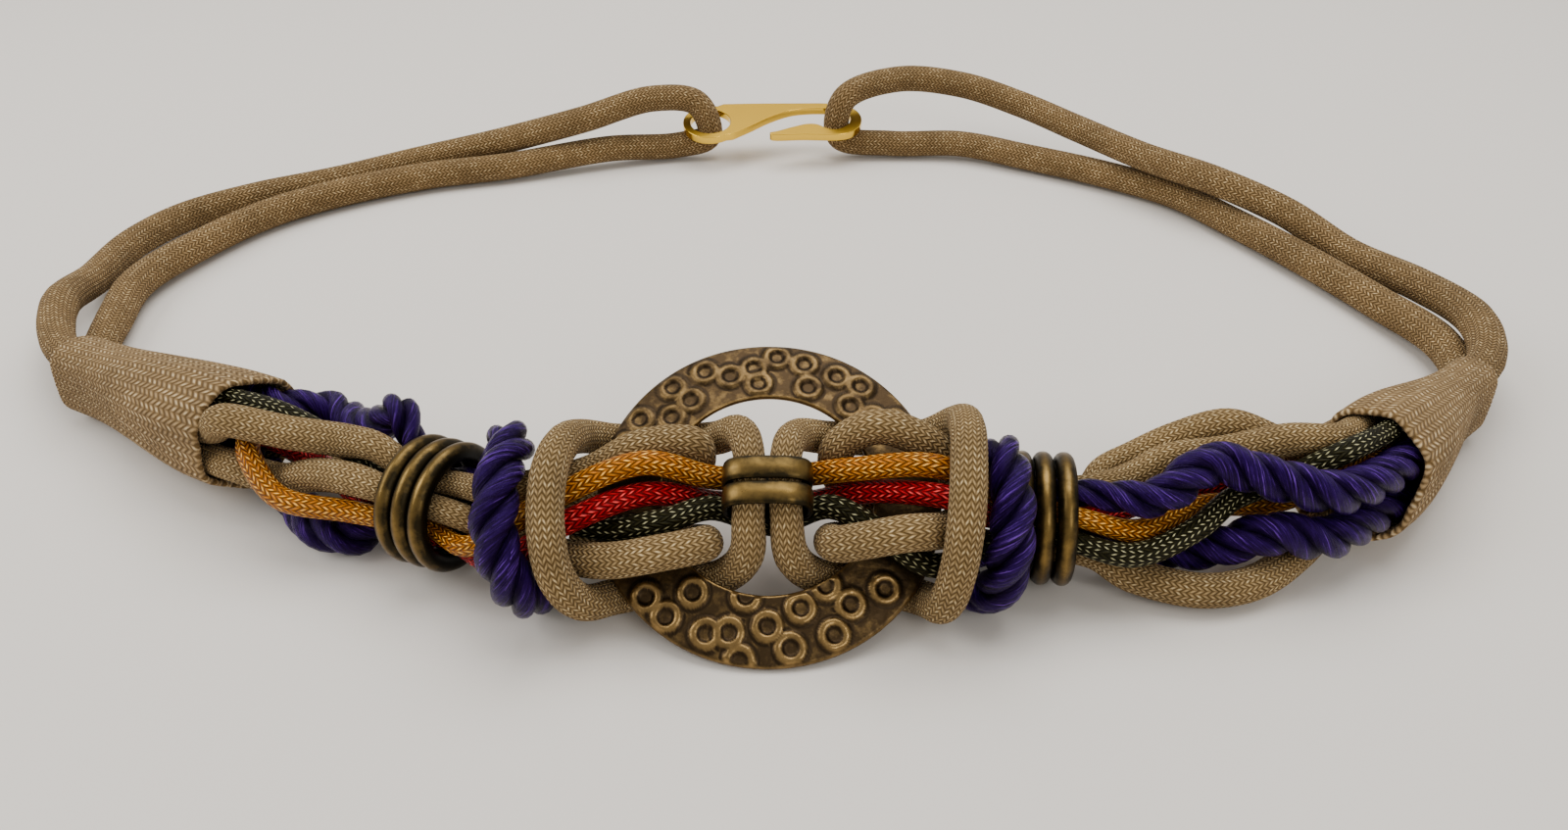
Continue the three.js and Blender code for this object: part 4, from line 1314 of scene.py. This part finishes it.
@dataclass
class WireRing:
    """One of three wire rings side by side round a bundle."""

    node: str
    at: tuple[float, float, float]
    axis: tuple[float, float, float]
    shift: float  # mm along the axis
    radius: float = 9.6
    wire: float = 1.62
    around: int = 18
    along: int = 96

    def build(self, material: bpy.types.Material) -> bpy.types.Object:
        """Builds the wire ring, with its outer crest rubbed bright and given a painted highlight,
        and painted shade on its inner side.

        Args:
            material: its antique brass.

        Returns:
            The finished piece.
        """
        axis = Vector(self.axis).normalized()
        turn_to = Vector((0, 0, 1)).rotation_difference(axis).to_matrix()
        middle = Vector(self.at) + axis * self.shift
        marks: dict[PlaceKey, float] = {}

        def place(i: int, j: int) -> Vector:
            """Gives a corner of the wire's round section, and marks how far it is rubbed, with its
            painted highlight and shade.

            Args:
                i: a step round the ring.
                j: a step round its wire.

            Returns:
                The corner's place.
            """
            turn = TURN * (i % self.along) / self.along
            angle = TURN * (j % self.around) / self.around
            out = math.cos(angle)
            reach = self.radius + self.wire * out
            height = self.wire * math.sin(angle)
            flat = Vector((reach * math.cos(turn), reach * math.sin(turn), height))
            spot = row_point(middle + turn_to @ flat)
            # Painted shade on the inner side, which faces the bundle; along the outer crest,
            # rubbing and a painted highlight
            dark = smooth_step(0.5, -0.05, out)
            marks[place_key(spot)] = 0.55 * smooth_step(0.88, 1.0, out) - 0.8 * dark
            return spot

        counts = (self.along, self.around)
        return metal_loop(f"{self.node}_metal", self.node, counts, place, marks, material)


@dataclass(frozen=True)
class Crease:
    """A soft fold pressed into a sleeve."""

    turn: float  # degrees round the sleeve
    middle: float  # share along it
    depth: float  # mm
    width: float = 0.14  # radians
    length: float = 0.2  # share along

    def depth_at(self, turn: float, share: float) -> float:
        """Gives the fold's depth in mm at an angle in radians and a share along the sleeve."""
        off = math.remainder(math.radians(self.turn) - turn, TURN)
        near = math.exp(-((off / self.width) ** 2))
        return self.depth * near * math.exp(-(((share - self.middle) / self.length) ** 2))


@dataclass
class Sleeve:
    """A cloth sleeve, drawn tight round two ropes at its end and a bundle at its slanted mouth."""

    node: str
    end: tuple[float, float, float]
    mouth: tuple[float, float, float]
    high: float  # mm that the rim reaches past the mouth, at its top
    low: float  # and at its bottom
    held: Sequence[tuple[str, float]]  # what it holds: node, half width in mm
    creases: Sequence[Crease] = ()
    end_radius: float = 8.0
    mouth_radius: float = 12.0
    wall: float = 1.2  # the doubled cloth
    slack: float = 0.35  # mm between the cloth and what it holds
    end_depth: float = 9.0  # mm past its end where the ropes still hold it open
    mouth_depth: float = 3.0  # mm before its mouth where the bundle starts to hold it open
    flare: tuple[float, float] = (0.12, 0.92)  # shares along between which it widens
    slant_start: float = 0.45  # share along from which its slanted mouth shows
    around: int = 96
    along: int = 48
    hem: int = 4

    def __post_init__(self) -> None:
        """Finds the sleeve's axis and the sections of what it holds."""
        self.start = Vector(self.end)
        axis = Vector(self.mouth) - self.start
        self.length = axis.length
        self.turn_to = Vector((0, 0, 1)).rotation_difference(axis.normalized()).to_matrix()
        self.discs = []
        for node, half in self.held:
            for station in Route(ROUTES[node]).stations():
                spot = self.turn_to.transposed() @ (station.middle - self.start)
                self.discs.append((spot.x, spot.y, spot.z, half * station.share))

    def _reach(self, turn: float) -> float:
        """Gives how far in mm the rim reaches past the mouth at an angle."""
        out = self.turn_to @ Vector((math.cos(turn), math.sin(turn), 0))
        return self.low + (self.high - self.low) * (0.5 + 0.5 * out.z)

    def _tight(self, turn: float, low: float, high: float, limit: float) -> float:
        """Gives how far cloth drawn tight round what the sleeve holds reaches at an angle.

        Args:
            turn: the angle round the axis.
            low: mm along the axis where the held pieces start to count.
            high: and where they stop.
            limit: the reach that it never passes.

        Returns:
            The distance from the axis in mm.
        """
        near = [(x, y, half) for x, y, z, half in self.discs if low <= z <= high]
        found = limit
        for degrees in range(-84, 85, 6):
            way = turn + math.radians(degrees)
            span = max(x * math.cos(way) + y * math.sin(way) + half for x, y, half in near)
            found = min(found, (span + self.slack + self.wall) / math.cos(way - turn))
        return max(found, 0.45 * limit)

    def _profile(self, j: int) -> tuple[float, float]:
        """Gives the cloth's section, over its outer face, its hem, its inner face and its end.

        Args:
            j: a step round the section.

        Returns:
            The share along the sleeve, and the distance in from its outer face in mm.
        """
        if j <= self.along:
            return j / self.along, 0.0
        j -= self.along
        bulge, half = 0.5 * self.wall / self.length, 0.5 * self.wall
        if j < self.hem:
            angle = math.pi * j / self.hem
            return 1.0 + bulge * math.sin(angle), half - half * math.cos(angle)
        j -= self.hem
        if j <= self.along:
            return 1.0 - j / self.along, self.wall
        angle = math.pi * (j - self.along) / self.hem
        return -bulge * math.sin(angle), half + half * math.cos(angle)

    def build(self, material: bpy.types.Material) -> bpy.types.Object:
        """Builds the sleeve as one sheet with a turned-in hem.

        Args:
            material: its twill.

        Returns:
            The finished piece.
        """
        rows = 2 * self.along + 2 * self.hem
        turns = [TURN * i / self.around for i in range(self.around)]
        ends = [self._tight(turn, -1.0, self.end_depth, self.end_radius) for turn in turns]
        mouths = []
        for turn in turns:
            low, high = self.length - self.mouth_depth, self.length + self._reach(turn) + 1.0
            mouths.append(self._tight(turn, low, high, self.mouth_radius))

        def place(i: int, j: int) -> Vector:
            """Gives a corner of the cloth.

            Args:
                i: a step round the sleeve.
                j: a step round the cloth's section.

            Returns:
                The corner's place.
            """
            share, inward = self._profile(j % rows)
            turn = turns[i % self.around]
            blend = smooth_step(*self.flare, share)
            radius = ends[i % self.around] * (1 - blend) + mouths[i % self.around] * blend
            fold = 0.1 * math.sin(5 * turn + 7 * share) * smooth_step(0.2, 0.9, share)
            fold += sum(crease.depth_at(turn, share) for crease in self.creases)
            flat = Vector((math.cos(turn), math.sin(turn), 0)) * (radius - inward - fold)
            slant = max(0.0, share - self.slant_start) / (1 - self.slant_start)
            height = share * self.length + self._reach(turn) * slant
            return row_point(self.start + self.turn_to @ (flat + Vector((0, 0, height))))

        def sheet(i: int, j: int) -> tuple[float, float]:
            """Gives the share round and the mm along."""
            return (i / self.around, self._profile(j % rows)[0] * self.length)

        bm = carried_grid(self.around, rows, place, sheet, Section.LOOP)
        piece = finished(f"{self.node}_twill", bm, [material])
        stand_for(piece, self.node, "sleeve_cloth")
        return piece


@dataclass
class HookClasp:
    """A flat stamped hook with an eye at one end and a point that turns back to its shank."""

    plate: float = 2.4
    edge: float = 0.4  # the bevel of its edges
    tilt: float = 15.0
    eye: float = 6.2
    eye_rim: float = 8.5
    at: tuple[float, float, float] = (-0.6, 191.0, 10.2)
    eye_at: tuple[float, float] = (-19.6, 1.5)
    eye_arc: tuple[float, float] = (312.0, 72.0)
    arc_steps: int = 44
    eye_steps: int = 48
    outline: Sequence[tuple[float, float]] = (
        (-15.8, 11.0), (-6, 11.3), (6, 11.4), (17.5, 11.3), (22.3, 10.2), (25.8, 7.6),
        (27.3, 3.6), (26.6, -0.6), (24.2, -3.7), (20.6, -5.1), (9, -5.1), (-0.6, -5.2),
        (-1.2, -4.3), (1.2, -3.4), (6, -1.2), (10.4, 0.4), (13.4, 0.2), (16.6, -2.0),
        (19.6, -2.4), (22.4, -0.6), (23.9, 2.6), (23.2, 6.0), (20.6, 8.2), (17, 8.6), (9.6, 8.4),
        (4.6, 7.2), (-1.6, 3.6), (-7, -0.8), (-12.4, -4.9),
    )

    def _round_eye(self, radius: float, turn: float) -> Vector:
        """Gives the point at a distance from the eye's middle and an angle."""
        return Vector((*self.eye_at, 0)) + radius * Vector((math.cos(turn), math.sin(turn), 0))

    def _outer(self) -> list[Vector]:
        """Gives the outline: smooth round the hook, then the arc of the eye.

        Returns:
            Its points in mm, in order.
        """
        route = Route([(x, y, 0, 1) for x, y in self.outline], step=0.7)
        points = [station.middle for station in route.stations()]
        start, end = (math.radians(degrees) for degrees in self.eye_arc)
        for k in range(1, self.arc_steps):
            turn = start + (end - start) * k / self.arc_steps
            points.append(self._round_eye(self.eye_rim, turn))
        return points

    def build(self, face: bpy.types.Material, rim: bpy.types.Material) -> bpy.types.Object:
        """Builds the hook from its flat outline, extruded and bevelled.

        Args:
            face: the satin face.
            rim: the bright edges, whose lighter colour is a painted highlight.

        Returns:
            The finished piece.
        """
        bm = bmesh.new()
        edges = []
        turns = [TURN * k / self.eye_steps for k in range(self.eye_steps)]
        for ring in (self._outer(), [self._round_eye(self.eye, turn) for turn in turns]):
            verts = [bm.verts.new((p.x, p.y, -self.plate / 2)) for p in ring]
            for k, vert in enumerate(verts):
                edges.append(bm.edges.new((vert, verts[(k + 1) % len(verts)])))
        bmesh.ops.triangle_fill(bm, use_beauty=True, edges=edges)
        raised = bmesh.ops.extrude_face_region(bm, geom=list(bm.faces))["geom"]
        tops = [item for item in raised if isinstance(item, bmesh.types.BMVert)]
        bmesh.ops.translate(bm, verts=tops, vec=(0, 0, self.plate))
        bmesh.ops.recalc_face_normals(bm, faces=bm.faces)
        rims = [edge for edge in bm.edges if edge.calc_face_angle(0) > math.radians(60)]
        bmesh.ops.bevel(
            bm,
            geom=rims,
            offset=self.edge,
            segments=3,
            profile=0.5,
            affect="EDGES",
            clamp_overlap=True,
            material=-1,
        )
        for part in bm.faces:
            part.material_index = 0 if part.normal.z > 0.9 else 1
            part.smooth = abs(part.normal.z) < 0.98
        lean = Matrix.Rotation(math.radians(self.tilt), 4, "X")
        shift = Matrix.Translation(row_point(Vector(self.at)))
        bmesh.ops.transform(bm, matrix=shift @ lean @ Matrix.Scale(MM, 4), verts=bm.verts)
        piece = finished("hook_clasp_plate", bm, [face, rim])
        stand_for(piece, "hook_clasp", "gold_plate")
        return piece


@dataclass(frozen=True)
class Lamp:
    """A square soft light: its name, place, target and size in metres, and power in watts."""

    name: str
    at: tuple[float, float, float]
    towards: tuple[float, float, float]
    size: float
    power: float

    def hang(self) -> None:
        """Hangs the lamp and turns it to its target."""
        data = bpy.data.lights.new(self.name, "AREA")
        data.size = self.size
        data.energy = self.power
        lamp = bpy.data.objects.new(self.name, data)
        lamp.location = self.at
        way = Vector(self.towards) - Vector(self.at)
        lamp.rotation_euler = way.to_track_quat("-Z", "Y").to_euler()
        bpy.context.scene.collection.objects.link(lamp)


@dataclass
class Studio:
    """The pale floor, the soft lights and the camera."""

    floor_half: float = 1.6
    camera_at: tuple[float, float, float] = (2.6, -150.0, 132.0)  # mm, in the design's frame
    camera_pitch: float = 56.1  # degrees from looking straight down
    lens: float = 26.0  # mm, on a sensor of 36 mm
    sensor: float = 36.0
    room_colour: str = "e9e6e1"
    room_strength: float = 0.75
    lamps: Sequence[Lamp] = (
        Lamp("overhead", (0.10, 0.25, 0.95), (0.0, -0.05, 0.0), 0.9, 11.0),
        Lamp("window", (-0.75, -0.15, 0.65), (0.0, -0.05, 0.0), 0.6, 5.0),
        Lamp("front", (0.45, -0.75, 0.55), (0.0, -0.08, 0.0), 0.35, 2.2),
    )

    def aim_camera(self) -> bpy.types.Object:
        """Sets the camera at the picture's place and angle.

        Returns:
            The camera.
        """
        data = bpy.data.cameras.new("camera")
        data.lens = self.lens
        data.sensor_width = self.sensor
        data.clip_start = 0.01
        camera = bpy.data.objects.new("camera", data)
        camera.location = row_point(Vector(self.camera_at))
        camera.rotation_euler = (math.radians(self.camera_pitch), 0, 0)
        bpy.context.scene.collection.objects.link(camera)
        bpy.context.scene.camera = camera
        return camera

    def lay_floor(self) -> bpy.types.Object:
        """Lays the floor.

        Returns:
            The floor.
        """
        bm = bmesh.new()
        bmesh.ops.create_grid(bm, x_segments=1, y_segments=1, size=self.floor_half)
        floor = finished("floor", bm, [FLOOR_PAINT.material()])
        return floor

    def hang_lights(self) -> None:
        """Hangs a broad light over the belt, a smaller one at its left and a small one in front."""
        for lamp in self.lamps:
            lamp.hang()
        world = bpy.data.worlds.new("room")
        world.use_nodes = True
        back = world.node_tree.nodes["Background"]
        back.inputs["Color"].default_value = linear(self.room_colour)
        back.inputs["Strength"].default_value = self.room_strength
        bpy.context.scene.world = world


@dataclass(frozen=True)
class RingStack:
    """Where the three wire rings on one side are, and which way leads out to the sleeve."""

    at: tuple[float, float, float]
    axis: tuple[float, float, float]
    outward: int


@dataclass
class Belt:
    """The whole belt, built from the middle outwards."""

    fine_half: float = 2.1
    tan_half: float = 3.05
    purple_half: float = 4.1
    back_half: float = 3.9
    ring_pitch: float = 3.45  # mm from wire ring to wire ring
    band_offset: float = 2.15  # mm from the middle of the two oval bands to each
    left_stack: RingStack = RingStack((-56, 1.7, 12.1), (0.912, -0.407, 0.05), -1)
    right_stack: RingStack = RingStack((45.8, -1.5, 11.4), (0.99, -0.131, 0.05), 1)

    def _held_by(self, side: Side) -> list[tuple[str, float]]:
        """Lists what ends in one side's sleeve.

        Args:
            side: the sleeve's side.

        Returns:
            The nodes of the cords and ropes, with their half widths in mm.
        """
        return [
            (f"{side.value}_looped_cord", self.tan_half),
            (f"{side.value}_short_cord", self.tan_half),
            ("orange_cord", self.fine_half),
            ("red_cord", self.fine_half),
            ("olive_cord", self.fine_half),
            (f"{side.value}_purple_rope", self.purple_half),
            (f"{side.value}_back_rope", self.back_half),
        ]

    def add_cords(self) -> None:
        """Builds the back ropes, the coloured cords, the tan cords and the purple ropes."""
        rope = COTTON_ROPE.material()
        tan = COTTON_TAN.material()
        for side in Side:
            node = f"{side.value}_back_rope"
            CordPiece(node, self.back_half, "rope_braid", free=True).build(rope)
        for name, finish in (
            ("orange", POLYESTER_ORANGE),
            ("red", POLYESTER_RED),
            ("olive", POLYESTER_OLIVE),
        ):
            cord = CordPiece(f"{name}_cord", self.fine_half, f"{name}_braid", around=16)
            cord.build(finish.material())
        for side in Side:
            for kind in ("looped_cord", "short_cord"):
                CordPiece(f"{side.value}_{kind}", self.tan_half, "tan_braid").build(tan)
            node = f"{side.value}_binding_loop"
            CordPiece(node, self.tan_half, "tan_braid", closed=True).build(tan)
        purple = RAYON_PURPLE.material()
        for side in Side:
            PlyRope(f"{side.value}_purple_rope").build(purple)

    def add_metal(self) -> None:
        """Builds the ring, the oval bands, the wire rings and the hook."""
        Medallion().build(BRASS_ANTIQUE.material())
        wire = BRASS_WIRE.material()
        OvalBand("upper_band", self.band_offset).build(wire)
        OvalBand("lower_band", -self.band_offset).build(wire)
        for side, stack in ((Side.LEFT, self.left_stack), (Side.RIGHT, self.right_stack)):
            for step, place in enumerate(("outer", "middle", "inner")):
                node = f"{side.value}_wire_ring_{place}"
                shift = stack.outward * (1 - step) * self.ring_pitch
                WireRing(node, stack.at, stack.axis, shift).build(wire)
        HookClasp().build(GOLD_FACE.material(), GOLD_EDGE.material())

    def add_sleeves(self) -> None:
        """Builds the two cloth sleeves."""
        twill = TWILL_TAN.material()
        Sleeve(
            "left_sleeve",
            end=(-142.5, 50, 8.0),
            mouth=(-101, 25, 12.0),
            high=6,
            low=4,
            held=self._held_by(Side.LEFT),
            creases=(Crease(200, 0.95, 0.8), Crease(250, 0.7, 0.5), Crease(40, 0.9, 0.6)),
        ).build(twill)
        Sleeve(
            "right_sleeve",
            end=(139.5, 42, 8.0),
            mouth=(107, 12.5, 12.0),
            high=1,
            low=9,
            held=self._held_by(Side.RIGHT),
            creases=(Crease(100, 0.95, 0.9), Crease(300, 0.8, 0.6)),
        ).build(twill)


def main() -> None:
    """Builds the belt and its studio."""
    logging.basicConfig(level=logging.INFO, format="%(name)s: %(message)s")
    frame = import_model()
    LOG.info("the model has %d nodes", len(frame["nodes"]))
    studio = Studio()
    studio.aim_camera()
    belt = Belt()
    belt.add_cords()
    belt.add_metal()
    belt.add_sleeves()
    studio.lay_floor()
    studio.hang_lights()


if __name__ == "__main__":
    main()
